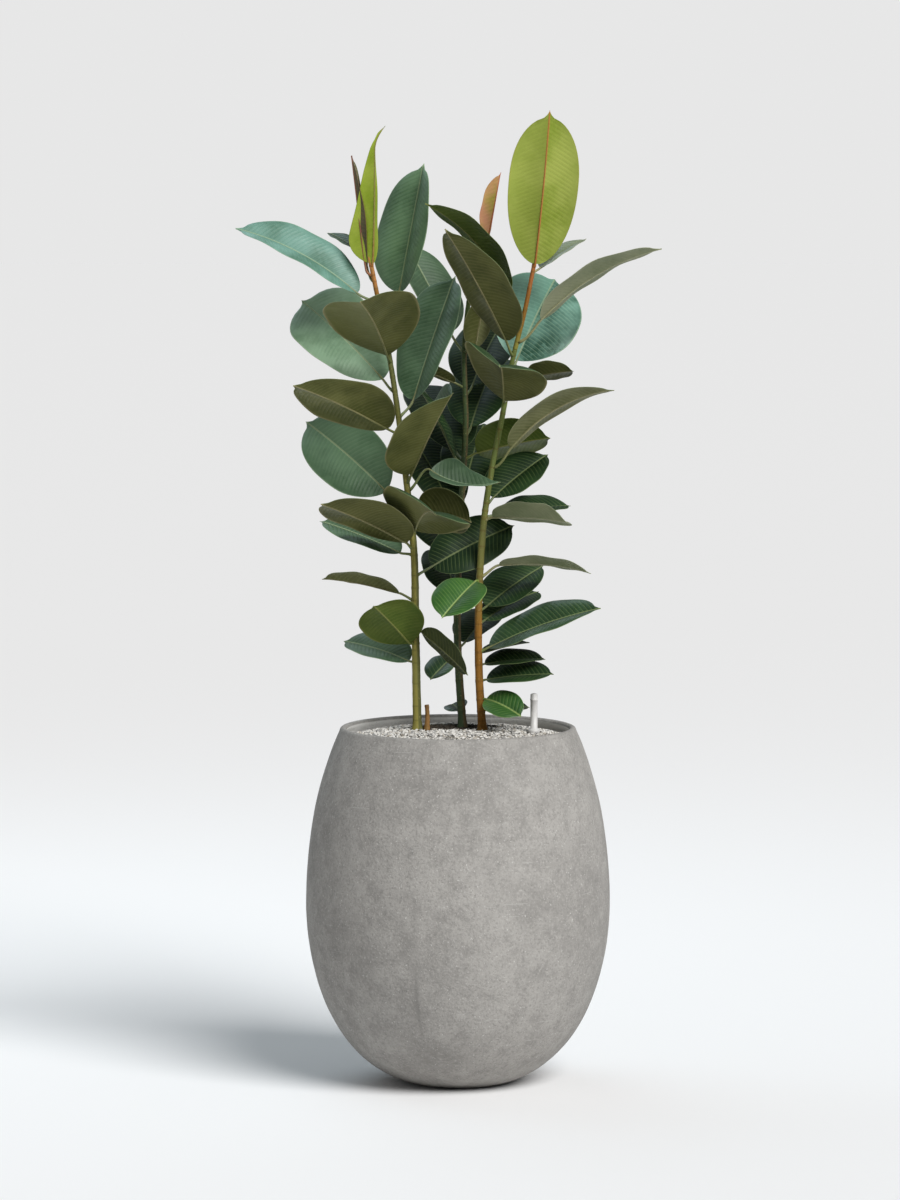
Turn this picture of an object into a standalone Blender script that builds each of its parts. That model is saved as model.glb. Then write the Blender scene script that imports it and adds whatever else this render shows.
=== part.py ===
"""Potted robusta rubber plant: three slender leaning stems with large oval leaves, in an egg-shaped planter.

Metres, Z up. The origin is the centre of the planter's flat underside, and the viewer stands towards -Y.
A bearing is measured in degrees from +X towards +Y, and a rise in degrees above the level.
"""

import math
from typing import NamedTuple

import bmesh
import bpy
import numpy as np

GAP = 0.0003
MERGE = 0.0001
SMALL_STEP = 0.002

# Planter
POT_HEIGHT = 0.600
BELLY_RADIUS = 0.255
BELLY_HEIGHT = 0.310
UPPER_REACH = 0.452
LOWER_REACH = 0.318
LOWER_CURVE = 2.1
LOWER_POWER = 2.55
WALL = 0.012
FLOOR_THICKNESS = 0.020
LIP_SHARES = ((0.25, 0.10), (0.70, 0.0))
POT_STEPS = 40
UPPER_POINTS = 7
LOWER_POINTS = 10
INNER_LOWER_SHARES = (0.15, 0.28, 0.50, 0.77)
INNER_UPPER_SHARES = (0.14, 0.42, 0.70)

# Filling
SOIL_TOP = 0.560
FOOT_LEVEL = 0.592
FOOT_REACH = 0.086
TERRACE_LEVEL = 0.588
TERRACE = (0.108, 0.140)
GRAVEL_EDGE = 0.578

# Watering gauge and cut stub
GAUGE_PLACE = (0.1275, 0.0)
GAUGE_RADIUS = 0.0060
GAUGE_HEIGHT = 0.068
GAUGE_FOOT_RADIUS = 0.0100
GAUGE_FOOT_HEIGHT = 0.008
GAUGE_CHAMFER = 0.002
GAUGE_STEPS = 16
STUB_PLACE = (-0.0525, 0.004)
STUB_RADIUS = 0.0045
STUB_HEIGHT = 0.044
STUB_TAPER = ((0.0, 1.3), (0.2, 1.0), (0.6, 0.9), (1.0, 0.8))

# Stems
FLARE_HEIGHT = 0.022
FLARE = 0.45
FLARE_SHARES = (0.3, 0.65)
STEM_POINTS = 20
SHOOT_POINTS = 6
STEM_SIDES_RESOLUTION = 4
BUD_LENGTH = 0.030
BUD_TAPER = ((0.5, 0.8), (1.0, 0.25))

# Leaves
LEAF_THICKNESS = 0.003
PETIOLE_RADIUS = 0.0021
PETIOLE_SLANT = 0.6
PETIOLE_PARTS = 4
PETIOLE_CORNERS = (150, 90, 30, -30, -90, -150)
SUNK_SHARE = 0.7
BLADE_STATIONS = (0.05, 0.16, 0.32, 0.50, 0.68, 0.83, 0.93, 1.0)
WIDEST_AT = 0.47
ROUND_START = -0.015
ROUND_END = 0.955
TIP_SHARE = 0.16
TIP_FROM = 0.80
OUTLINE_POWER = 2.3
OUTLINE_ROUND = 0.55
DIRECTION_STEPS = 24
SMOOTH_UP_TO = math.radians(40)


class Stem(NamedTuple):
    """A stem's way as (height, x, y), its radii, and the height where its leafy shoot begins."""

    way: tuple
    foot_radius: float
    tip_radius: float
    shoot_from: float


class Leaf(NamedTuple):
    """One leaf: where it springs from its stem, how its stalk and blade run, and its sizes."""

    height: float
    bearing: float
    petiole: float
    lift: float
    rise: float
    length: float
    width: float
    arch: float = 10
    roll: float = 0
    fold: float = 12
    widest: float = WIDEST_AT
    taper: float = 0


STEMS = {
    "left": Stem(
        way=(
            (0.592, -0.068, 0.010),
            (0.750, -0.071, 0.008),
            (0.900, -0.074, 0.006),
            (1.020, -0.087, 0.000),
            (1.140, -0.102, -0.004),
            (1.230, -0.116, -0.004),
            (1.320, -0.134, -0.002),
            (1.375, -0.145, 0.000),
        ),
        foot_radius=0.0074,
        tip_radius=0.0036,
        shoot_from=1.292,
    ),
    "middle": Stem(
        way=(
            (0.592, 0.008, 0.050),
            (0.750, -0.001, 0.066),
            (0.920, 0.003, 0.080),
            (1.100, 0.013, 0.086),
            (1.250, 0.012, 0.086),
            (1.330, 0.022, 0.082),
            (1.420, 0.049, 0.074),
        ),
        foot_radius=0.0070,
        tip_radius=0.0034,
        shoot_from=1.262,
    ),
    "right": Stem(
        way=(
            (0.592, 0.041, 0.000),
            (0.700, 0.035, 0.000),
            (0.840, 0.036, 0.000),
            (0.950, 0.044, 0.004),
            (1.030, 0.056, 0.008),
            (1.120, 0.074, 0.008),
            (1.210, 0.090, 0.004),
            (1.300, 0.112, 0.000),
            (1.375, 0.127, -0.002),
        ),
        foot_radius=0.0070,
        tip_radius=0.0034,
        shoot_from=1.232,
    ),
}

# Leaves fused to each stem's green shoot, the youngest first
SHOOT_LEAVES = {
    "left": (
        Leaf(1.372, -60, 0.004, 80, 88, 0.228, 0.084, arch=-4, fold=50, widest=0.18, taper=0.95),
        Leaf(1.356, 170, 0.012, 50, 82.5, 0.192, 0.024, arch=0, fold=60),
        Leaf(1.346, 130, 0.057, 58, 19, 0.094, 0.045),
        Leaf(1.312, 40, 0.043, 20, 76, 0.220, 0.132, arch=0, fold=16, widest=0.42),
        Leaf(1.312, 168, 0.036, 25, 27, 0.236, 0.089, arch=28, roll=32, fold=21),
    ),
    "middle": (
        Leaf(1.412, -34, 0.004, 80, 77, 0.114, 0.046, arch=0, fold=40),
        Leaf(1.318, 60, 0.020, 40, 40, 0.075, 0.055),
    ),
    "right": (
        Leaf(1.372, -62, 0.004, 80, 79, 0.260, 0.119, arch=-6, roll=26, widest=0.52),
        Leaf(1.362, 30, 0.014, 30, 28, 0.100, 0.060),
        Leaf(1.273, -165, 0.059, 70, 46, 0.208, 0.092, arch=40, roll=-14),
        Leaf(1.245, -15, 0.055, 46, 30, 0.240, 0.081, arch=34, roll=16),
    ),
}

# Single leaves of each stem, the highest first
LEAVES = {
    "left": (
        Leaf(1.212, -101, 0.025, 30, 24, 0.240, 0.166, arch=20, roll=-12, fold=20),
        Leaf(1.163, 140, 0.030, 42, 35, 0.220, 0.136, roll=44, widest=0.68),
        Leaf(1.120, 40, 0.038, 45, 66, 0.224, 0.124, arch=4, roll=-5, fold=16, widest=0.56),
        Leaf(1.091, -142, 0.026, 25, 22, 0.210, 0.136, roll=-28, taper=0.6),
        Leaf(1.010, -61, 0.019, 54, 45, 0.202, 0.154, roll=-35, fold=30, widest=0.43),
        Leaf(0.997, -12, 0.048, 45, -9, 0.124, 0.086, arch=-50, roll=-26, fold=25, widest=0.25, taper=0.8),
        Leaf(0.980, 141, 0.046, 17, 32, 0.208, 0.122, roll=56),
        Leaf(0.956, -32, 0.012, 10, -6, 0.104, 0.092, arch=30, roll=60),
        Leaf(0.928, -79, 0.020, 10, 12, 0.195, 0.155, arch=40, roll=26, fold=8),
        Leaf(0.900, -141, 0.014, 45, 22, 0.195, 0.120, roll=-20),
        Leaf(0.888, 160, 0.020, 10, 19, 0.152, 0.095, roll=20),
        Leaf(0.854, 19, 0.028, 30, 24, 0.160, 0.098, roll=-48, fold=4),
        Leaf(0.812, 175, 0.024, 30, 10, 0.132, 0.080, arch=14, roll=-20),
        Leaf(0.759, -34, 0.006, 0, -36, 0.115, 0.062, roll=56),
        Leaf(0.739, -126, 0.010, 10, 35, 0.124, 0.108, arch=5, roll=-32),
        Leaf(0.707, 150, 0.008, 15, 12, 0.130, 0.085, arch=15, roll=22),
    ),
    "middle": (
        Leaf(1.225, -60, 0.032, 12, 68, 0.095, 0.055),
        Leaf(1.225, 132, 0.045, 46, 52, 0.185, 0.105),
        Leaf(1.165, -165, 0.016, 30, 20, 0.090, 0.050, roll=-20),
        Leaf(1.150, 68, 0.030, 30, 35, 0.190, 0.120, arch=20),
        Leaf(1.082, 72, 0.030, 30, 35, 0.190, 0.120, arch=20),
        Leaf(1.045, -12, 0.020, 30, 12, 0.128, 0.124, roll=36),
        Leaf(1.040, 112, 0.035, 25, 32, 0.200, 0.120, arch=20),
        Leaf(1.035, 170, 0.016, 50, 62, 0.130, 0.070),
        Leaf(0.985, 78, 0.030, 25, 32, 0.180, 0.115, arch=20),
        Leaf(0.945, 120, 0.030, 25, 40, 0.190, 0.115, arch=20),
        Leaf(0.868, 115, 0.030, 25, 26, 0.180, 0.110, arch=20),
        Leaf(0.800, 98, 0.026, 25, 24, 0.165, 0.100, arch=20),
        Leaf(0.725, 62, 0.022, 25, 20, 0.140, 0.085, arch=20),
        Leaf(0.711, -140, 0.004, 10, -35, 0.062, 0.060, roll=10),
        Leaf(0.620, 108, 0.004, 10, 10, 0.042, 0.042, roll=20),
    ),
    "right": (
        Leaf(1.222, -132, 0.030, 60, 51, 0.242, 0.118, widest=0.42),
        Leaf(1.198, 62, 0.024, 40, 43, 0.192, 0.155, roll=-36, fold=18),
        Leaf(1.181, -20, 0.030, 10, 9, 0.082, 0.070, roll=30),
        Leaf(1.145, -93, 0.020, 10, 20, 0.200, 0.152, arch=50, roll=24),
        Leaf(1.035, -20, 0.045, 50, 29, 0.212, 0.083, arch=44, roll=18),
        Leaf(0.975, 38, 0.014, 45, 30, 0.136, 0.096, arch=10, roll=-22, taper=0.5),
        Leaf(0.952, 20, 0.030, 10, 5, 0.120, 0.086, roll=-16),
        Leaf(0.948, -35, 0.014, 20, -1, 0.152, 0.092, arch=12, roll=28, widest=0.80),
        Leaf(0.853, -12, 0.034, 35, -4, 0.157, 0.076, arch=24, roll=18, fold=8),
        Leaf(0.845, -122, 0.008, 0, -27, 0.118, 0.086, arch=8, roll=14),
        Leaf(0.795, 40, 0.014, 30, 26, 0.138, 0.092, roll=-22, taper=0.5),
        Leaf(0.773, 50, 0.012, 26, 15, 0.148, 0.072, arch=15, roll=-18),
        Leaf(0.727, -12, 0.014, 30, 20, 0.202, 0.102, arch=15, roll=-26),
        Leaf(0.724, 28, 0.004, 10, 8, 0.088, 0.060),
        Leaf(0.704, 5, 0.004, 20, 4, 0.102, 0.077, roll=-14),
        Leaf(0.677, -5, 0.006, 20, 5, 0.113, 0.088, roll=-20),
        Leaf(0.646, -40, 0.006, 10, -18, 0.080, 0.060, arch=20, roll=-35),
        Leaf(0.626, 18, 0.004, 10, 2, 0.075, 0.040, roll=-20),
    ),
}


def clear_scene():
    """Remove every object of the open scene."""
    for item in list(bpy.data.objects):
        bpy.data.objects.remove(item, do_unlink=True)


def new_collection(name):
    """Add a collection to the scene."""
    group = bpy.data.collections.new(name)
    bpy.context.scene.collection.children.link(group)
    return group


def material(name, colour, roughness):
    """A plain material with one colour."""
    made = bpy.data.materials.new(name)
    made.use_nodes = True
    shader = made.node_tree.nodes["Principled BSDF"]
    shader.inputs["Base Color"].default_value = (*colour, 1.0)
    shader.inputs["Roughness"].default_value = roughness
    made.diffuse_color = (*colour, 1.0)
    return made


def add_object(name, mesh, group, finish):
    """Link a mesh as a named object with one material."""
    item = bpy.data.objects.new(name, mesh)
    item.data.materials.append(finish)
    group.objects.link(item)
    return item


def unit(vector):
    """The vector at length one."""
    return vector / np.linalg.norm(vector)


def heading(bearing, rise):
    """A direction of length one from a bearing and a rise in degrees."""
    turn = math.radians(bearing)
    pitch = math.radians(rise)
    level = math.cos(pitch)
    return np.array((math.cos(turn) * level, math.sin(turn) * level, math.sin(pitch)))


def between(t, start, start_slope, end, end_slope):
    """The place at t of a smooth way from start to end that has the given slopes there."""
    leaving = start * (1 + 2 * t) * (1 - t) ** 2 + start_slope * t * (1 - t) ** 2
    arriving = end * t * t * (3 - 2 * t) + end_slope * t * t * (t - 1)
    return leaving + arriving


def smooth_between(height, heights, values):
    """The value at a height on a smooth line through the given values."""
    heights = np.asarray(heights)
    values = np.asarray(values)
    slopes = np.gradient(values, heights)
    low = int(np.clip(np.searchsorted(heights, height) - 1, 0, len(heights) - 2))
    step = heights[low + 1] - heights[low]
    t = (height - heights[low]) / step
    return between(t, values[low], slopes[low] * step, values[low + 1], slopes[low + 1] * step)


def stem_centre(stem, height):
    """The stem's centre at a height."""
    heights, across, deep = zip(*stem.way)
    return np.array((smooth_between(height, heights, across), smooth_between(height, heights, deep), height))


def stem_axis(stem, height):
    """The stem's direction at a height."""
    return unit(stem_centre(stem, height + SMALL_STEP) - stem_centre(stem, height - SMALL_STEP))


def stem_radius(stem, height):
    """The stem's radius at a height: an even taper with a flare at the foot."""
    low = stem.way[0][0]
    share = (height - low) / (stem.way[-1][0] - low)
    radius = stem.foot_radius + (stem.tip_radius - stem.foot_radius) * share
    return radius * (1 + FLARE * max(0.0, 1 - (height - low) / FLARE_HEIGHT) ** 2)


def width_share(t, leaf):
    """The blade's half width at t of its length, as a share of its greatest half width."""
    body = 0.0
    if t < ROUND_END:
        reach = leaf.widest - ROUND_START if t < leaf.widest else ROUND_END - leaf.widest
        body = max(0.0, 1 - abs((t - leaf.widest) / reach) ** OUTLINE_POWER) ** OUTLINE_ROUND
        body *= 1 - leaf.taper * max(0.0, t - leaf.widest)
    tip = TIP_SHARE * (1 - t) / (1 - ROUND_END) if t > TIP_FROM else 0.0
    return max(body, min(tip, TIP_SHARE))


def section(centre, side, normal, half_width, fold, thickness):
    """Six points round a folded strip: its upper face from left to right, then its lower face back."""
    lift = math.radians(fold)
    across = side * half_width * math.cos(lift)
    up = normal * half_width * math.sin(lift)
    left = centre - across + up
    right = centre + across + up
    half = normal * thickness / 2
    return [left + half, centre + half, right + half, right - half, centre - half, left - half]


def petiole_sections(start, out, axis, base, forward):
    """Hexagons along the stalk, from flat on the stem's side to the blade's own direction."""
    reach = np.linalg.norm(base - start)
    leaving = unit(out + axis * PETIOLE_SLANT) * reach
    rings = []
    for step in range(PETIOLE_PARTS):
        t = step / PETIOLE_PARTS
        centre = between(t, start, leaving, base, forward * reach)
        ahead = between(t + 1 / PETIOLE_PARTS, start, leaving, base, forward * reach)
        along = unit(ahead - centre) if step else out
        side = unit(np.cross(along, axis))
        normal = np.cross(side, along)
        ring = []
        for corner in PETIOLE_CORNERS:
            angle = math.radians(corner)
            ring.append(centre + (side * math.cos(angle) + normal * math.sin(angle)) * PETIOLE_RADIUS)
        rings.append(ring)
    return rings


def blade_sections(leaf, base):
    """Sections along the blade, from the stalk to the tip."""
    rings = []
    roll = math.radians(leaf.roll)
    turn = math.radians(leaf.bearing)
    level_side = np.array((math.sin(turn), -math.cos(turn), 0.0))
    step = leaf.length / DIRECTION_STEPS
    centres = [base]
    for part in range(DIRECTION_STEPS):
        middle = (part + 0.5) / DIRECTION_STEPS
        centres.append(centres[-1] + heading(leaf.bearing, leaf.rise + leaf.arch * (0.5 - middle)) * step)
    for t in BLADE_STATIONS:
        along = heading(leaf.bearing, leaf.rise + leaf.arch * (0.5 - t))
        upright = np.cross(level_side, along)
        side = level_side * math.cos(roll) + upright * math.sin(roll)
        normal = upright * math.cos(roll) - level_side * math.sin(roll)
        place = t * DIRECTION_STEPS
        low = min(int(place), DIRECTION_STEPS - 1)
        centre = centres[low] + (centres[low + 1] - centres[low]) * (place - low)
        half_width = max(leaf.width / 2 * width_share(t, leaf), PETIOLE_RADIUS / 2)
        rings.append(section(centre, side, normal, half_width, leaf.fold, LEAF_THICKNESS))
    return rings


def leaf_mesh(name, stem, leaf, sunk):
    """A leaf with its stalk as one closed body; a sunk one starts inside its stem."""
    axis = stem_axis(stem, leaf.height)
    level = heading(leaf.bearing, 0)
    out = unit(level - axis * level.dot(axis))
    reach = stem_radius(stem, leaf.height)
    surface = stem_centre(stem, leaf.height) + out * (reach + GAP)
    base = surface + heading(leaf.bearing, leaf.lift) * leaf.petiole
    start = surface - out * (reach + GAP) * SUNK_SHARE if sunk else surface
    forward = heading(leaf.bearing, leaf.rise + leaf.arch / 2)
    rings = petiole_sections(start, out, axis, base, forward) + blade_sections(leaf, base)
    return loft(name, rings)


def loft(name, rings):
    """A closed mesh through rings of equal count, capped at both ends."""
    shape = bmesh.new()
    rows = [[shape.verts.new(point) for point in ring] for ring in rings]
    count = len(rings[0])
    for near, far in zip(rows, rows[1:]):
        for corner in range(count):
            following = (corner + 1) % count
            shape.faces.new((near[corner], near[following], far[following], far[corner]))
    shape.faces.new(list(reversed(rows[0])))
    shape.faces.new(rows[-1])
    bmesh.ops.recalc_face_normals(shape, faces=shape.faces[:])
    bmesh.ops.triangulate(shape, faces=shape.faces[:])
    mesh = bpy.data.meshes.new(name)
    shape.to_mesh(mesh)
    shape.free()
    mesh.shade_smooth()
    mesh.set_sharp_from_angle(angle=SMOOTH_UP_TO)
    return mesh


def tube(name, centres, radii, group, finish):
    """A round tapering limb with flat cut ends, as a closed mesh."""
    line = bpy.data.curves.new(name, "CURVE")
    line.dimensions = "3D"
    line.bevel_depth = 1.0
    line.bevel_resolution = STEM_SIDES_RESOLUTION
    line.use_fill_caps = True
    spline = line.splines.new("POLY")
    spline.points.add(len(centres) - 1)
    for point, centre, radius in zip(spline.points, centres, radii):
        point.co = (*centre, 1.0)
        point.radius = radius
    guide = bpy.data.objects.new(name + "_line", line)
    group.objects.link(guide)
    bpy.context.view_layer.update()
    evaluated = guide.evaluated_get(bpy.context.evaluated_depsgraph_get())
    mesh = bpy.data.meshes.new_from_object(evaluated)
    place = guide.matrix_world.copy()
    bpy.data.objects.remove(guide, do_unlink=True)
    shape = bmesh.new()
    shape.from_mesh(mesh)
    bmesh.ops.remove_doubles(shape, verts=shape.verts[:], dist=MERGE)
    bmesh.ops.recalc_face_normals(shape, faces=shape.faces[:])
    shape.to_mesh(mesh)
    shape.free()
    mesh.name = name
    mesh.shade_smooth()
    mesh.set_sharp_from_angle(angle=SMOOTH_UP_TO)
    mesh.materials.clear()
    item = add_object(name, mesh, group, finish)
    item.matrix_world = place
    return item


def build_stem(side, stem, group, finish):
    """A bare stem from its flat cut on the gravel to the foot of its green shoot."""
    foot = stem.way[0][0]
    heights = [foot] + [foot + share * FLARE_HEIGHT for share in FLARE_SHARES]
    heights += list(np.linspace(foot + FLARE_HEIGHT, stem.shoot_from - GAP, STEM_POINTS))
    centres = [stem_centre(stem, height) for height in heights]
    for centre in centres:
        centre[2] += GAP * (centre[2] == foot)
    centres[1][:2] = centres[0][:2]
    radii = [stem_radius(stem, height) for height in heights]
    return tube("stem_" + side, centres, radii, group, finish)


def build_shoot(side, stem, leaves, group, loose, finish):
    """The green end of a stem with its bud and its youngest leaves, fused by one Boolean union."""
    top = stem.way[-1][0]
    heights = list(np.linspace(stem.shoot_from, top, SHOOT_POINTS))
    centres = [stem_centre(stem, height) for height in heights]
    radii = [stem_radius(stem, height) for height in heights]
    bud = unit(centres[-1] - centres[-2]) * BUD_LENGTH
    centres += [centres[SHOOT_POINTS - 1] + bud * share for share, taper in BUD_TAPER]
    radii += [stem.tip_radius * taper for share, taper in BUD_TAPER]
    core = tube("shoot_" + side, centres, radii, group, finish)
    for number, leaf in enumerate(leaves, 1):
        name = f"young_{side}_{number}"
        add_object(name, leaf_mesh(name, stem, leaf, sunk=True), loose, finish)
    union = core.modifiers.new("Fused", "BOOLEAN")
    union.operation = "UNION"
    union.operand_type = "COLLECTION"
    union.collection = loose
    union.solver = "EXACT"
    bpy.context.view_layer.update()
    mesh = bpy.data.meshes.new_from_object(core.evaluated_get(bpy.context.evaluated_depsgraph_get()))
    core.modifiers.clear()
    core.data = mesh
    for item in list(loose.objects):
        bpy.data.objects.remove(item, do_unlink=True)
    return core


def build_leaves(side, stem, leaves, group, finish):
    """The single leaves of a stem, numbered from the top."""
    for number, leaf in enumerate(leaves, 1):
        name = f"leaf_{side}_{number:02d}"
        add_object(name, leaf_mesh(name, stem, leaf, sunk=False), group, finish)


def pot_radius(height):
    """The planter's outer radius at a height: an egg of two arcs that meet at the belly."""
    if height >= BELLY_HEIGHT:
        return BELLY_RADIUS * math.sqrt(1 - ((height - BELLY_HEIGHT) / UPPER_REACH) ** 2)
    return BELLY_RADIUS * (1 - ((BELLY_HEIGHT - height) / LOWER_REACH) ** LOWER_CURVE) ** (1 / LOWER_POWER)


def pot_profile():
    """Radii and heights of the outer side from the mouth down to the foot, closer together near the foot."""
    rim = POT_HEIGHT - WALL / 2
    heights = [rim + (BELLY_HEIGHT - rim) * step / UPPER_POINTS for step in range(UPPER_POINTS)]
    heights += [BELLY_HEIGHT * (1 - step / LOWER_POINTS) ** 2 for step in range(LOWER_POINTS + 1)]
    return [(pot_radius(height), height) for height in heights]


def turned(name, profile, group, finish):
    """A turned solid from a profile of radius and height; its ends lie on the axis."""
    mesh = bpy.data.meshes.new(name)
    verts = [(radius, 0.0, height) for radius, height in profile]
    mesh.from_pydata(verts, [(step, step + 1) for step in range(len(verts) - 1)], [])
    item = add_object(name, mesh, group, finish)
    screw = item.modifiers.new("Turned", "SCREW")
    screw.steps = POT_STEPS
    screw.render_steps = POT_STEPS
    screw.use_merge_vertices = True
    screw.merge_threshold = MERGE
    screw.use_smooth_shade = True
    return item


def inner_radius(height):
    """The radius of the inner wall at a height, one wall's thickness in from the outer side."""
    slope = (pot_radius(height + SMALL_STEP) - pot_radius(height - SMALL_STEP)) / (2 * SMALL_STEP)
    return pot_radius(height) - WALL * math.hypot(1, slope)


def inner_profile():
    """The inner wall from the floor's rim up to the mouth."""
    heights = [FLOOR_THICKNESS]
    heights += [BELLY_HEIGHT * share for share in INNER_LOWER_SHARES]
    heights += [BELLY_HEIGHT + (POT_HEIGHT - BELLY_HEIGHT) * share for share in INNER_UPPER_SHARES]
    heights.append(POT_HEIGHT - WALL / 2)
    return [(inner_radius(height), height) for height in heights]


def wall_beside(height):
    """The radius of the filling at a height, just clear of the straight wall between two profile points."""
    radii, heights = zip(*inner_profile())
    return float(np.interp(height, heights, radii)) - 2 * GAP


def build_pot(group, finish):
    """The planter as one turned shell with a rounded lip and a flat underside."""
    inside = inner_profile()
    mouth = inside[-1][0]
    lip = [(mouth + WALL * across, POT_HEIGHT - WALL * down) for across, down in LIP_SHARES]
    profile = [(0.0, FLOOR_THICKNESS)] + inside + lip + pot_profile() + [(0.0, 0.0)]
    return turned("planter", profile, group, finish)


def build_filling(group, soil_finish, gravel_finish):
    """Soil that fills the planter, and a layer of fine gravel on it, both clear of the wall."""
    floor = FLOOR_THICKNESS + GAP
    heights = [floor] + [height for radius, height in inner_profile()[1:] if height < SOIL_TOP] + [SOIL_TOP]
    wall = [(wall_beside(height), height) for height in heights]
    soil = [(0.0, SOIL_TOP)] + wall[::-1] + [(0.0, floor)]
    turned("soil", soil, group, soil_finish)
    low = SOIL_TOP + GAP
    gravel = [
        (0.0, FOOT_LEVEL),
        (FOOT_REACH, FOOT_LEVEL),
        (TERRACE[0], TERRACE_LEVEL),
        (TERRACE[1], TERRACE_LEVEL),
        (wall_beside(GRAVEL_EDGE), GRAVEL_EDGE),
        (wall_beside(low), low),
        (0.0, low),
    ]
    turned("gravel", gravel, group, gravel_finish)


def build_gauge(group, finish):
    """The slim upright watering gauge that stands in the gravel."""
    low = TERRACE_LEVEL + GAP
    profile = [
        (0.0, GAUGE_HEIGHT),
        (GAUGE_RADIUS - GAUGE_CHAMFER / 2, GAUGE_HEIGHT),
        (GAUGE_RADIUS, GAUGE_HEIGHT - GAUGE_CHAMFER),
        (GAUGE_RADIUS, GAUGE_FOOT_HEIGHT),
        (GAUGE_FOOT_RADIUS, GAUGE_FOOT_HEIGHT - GAUGE_CHAMFER),
        (GAUGE_FOOT_RADIUS, 0.0),
        (0.0, 0.0),
    ]
    item = turned("water_gauge", profile, group, finish)
    item.modifiers["Turned"].steps = GAUGE_STEPS
    item.modifiers["Turned"].render_steps = GAUGE_STEPS
    item.location = (*GAUGE_PLACE, low)
    return item


def build_stub(group, finish):
    """The short cut stub beside the left stem."""
    foot = np.array((*STUB_PLACE, FOOT_LEVEL + GAP))
    centres = [foot + np.array((0.0, 0.0, STUB_HEIGHT * share)) for share, taper in STUB_TAPER]
    radii = [STUB_RADIUS * taper for share, taper in STUB_TAPER]
    return tube("basal_stub", centres, radii, group, finish)


def main():
    """Build the planter, its filling, the stems and the leaves."""
    clear_scene()
    group = new_collection("potted_rubber_plant")
    concrete = material("concrete", (0.29, 0.28, 0.26), 0.85)
    earth = material("earth", (0.06, 0.04, 0.03), 0.95)
    stones = material("stones", (0.62, 0.60, 0.56), 0.80)
    bark = material("bark", (0.20, 0.13, 0.06), 0.75)
    green = material("leaf_green", (0.05, 0.11, 0.05), 0.35)
    young = material("young_green", (0.24, 0.32, 0.06), 0.35)
    white = material("white_plastic", (0.75, 0.75, 0.73), 0.45)
    build_pot(group, concrete)
    build_filling(group, earth, stones)
    build_gauge(group, white)
    build_stub(group, bark)
    for side, stem in STEMS.items():
        build_stem(side, stem, group, bark)
        loose = new_collection("young_leaves_" + side)
        build_shoot(side, stem, SHOOT_LEAVES[side], group, loose, young)
        bpy.data.collections.remove(loose)
        build_leaves(side, stem, LEAVES[side], group, green)


main()
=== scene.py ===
import random
from math import copysign, cos, degrees, exp, hypot, pi, radians, sin, sqrt, tau
from typing import NamedTuple

import bmesh
import bpy
import numpy as np
from mathutils import Matrix, Vector, noise


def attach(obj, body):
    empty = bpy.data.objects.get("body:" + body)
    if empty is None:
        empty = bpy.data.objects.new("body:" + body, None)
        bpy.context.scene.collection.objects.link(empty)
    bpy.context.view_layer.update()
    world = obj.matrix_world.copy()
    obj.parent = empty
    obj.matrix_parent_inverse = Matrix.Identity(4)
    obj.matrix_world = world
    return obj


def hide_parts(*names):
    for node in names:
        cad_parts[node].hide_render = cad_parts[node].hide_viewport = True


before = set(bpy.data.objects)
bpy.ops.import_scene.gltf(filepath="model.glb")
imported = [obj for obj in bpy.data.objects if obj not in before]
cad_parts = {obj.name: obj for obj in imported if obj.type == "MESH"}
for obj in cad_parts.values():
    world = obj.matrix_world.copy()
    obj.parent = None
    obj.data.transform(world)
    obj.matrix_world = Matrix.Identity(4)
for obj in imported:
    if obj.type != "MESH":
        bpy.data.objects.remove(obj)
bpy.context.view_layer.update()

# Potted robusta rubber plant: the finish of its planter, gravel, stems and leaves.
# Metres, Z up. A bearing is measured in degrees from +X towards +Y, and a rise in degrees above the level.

# Camera
CAMERA_PLACE = (-0.0133, -10.0, 1.72)
CAMERA_TARGET = (-0.0133, 0.0, 0.813)
CAMERA_LENS = 180
SENSOR_WIDTH = 36

# Studio: the sun comes from a bearing and a rise
WORLD_LIGHT = 0.24
WORLD_SHOWN = 0.80
SUN_FROM = (-54, 40)
SUN_SPREAD = 34
SUN_STRENGTH = 3.45
OVER_PLACE = (-1.2, 1.6, 3.4)
OVER_TARGET = (0.0, 0.0, 1.0)
OVER_SIZE = 3.0
OVER_POWER = 34
OVER_COLOUR = (0.70, 0.88, 1.0)
FLOOR_TONE = (0.88, 0.88, 0.88)
FLOOR_REACH = 40.0
FLOOR_DROP = 0.0005

# Planter
POT_HEIGHT = 0.600
BELLY_RADIUS = 0.255
BELLY_HEIGHT = 0.310
UPPER_REACH = 0.452
LOWER_REACH = 0.318
LOWER_CURVE = 2.1
LOWER_POWER = 2.55
WALL = 0.012
POT_SIDES = 240
POT_ROWS = 130
INNER_ROWS = 12
INNER_DEPTH = 0.055
LIP_POINTS = 9
FOOT_INSET = 0.004
FIRST_ROW = 0.0015
ROW_POWER = 1.25
CASTING_RELIEF = 0.0007
LIP_RELIEF = 0.6
INNER_RELIEF = 0.3
PIT_FROM = 0.38
PIT_DEPTH = 0.0022
SEAM_BEARINGS = (-107, 73)
SEAM_WIDTH = 0.0035
SEAM_DEPTH = 0.0003
SEAM_WANDER = 0.004

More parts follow.
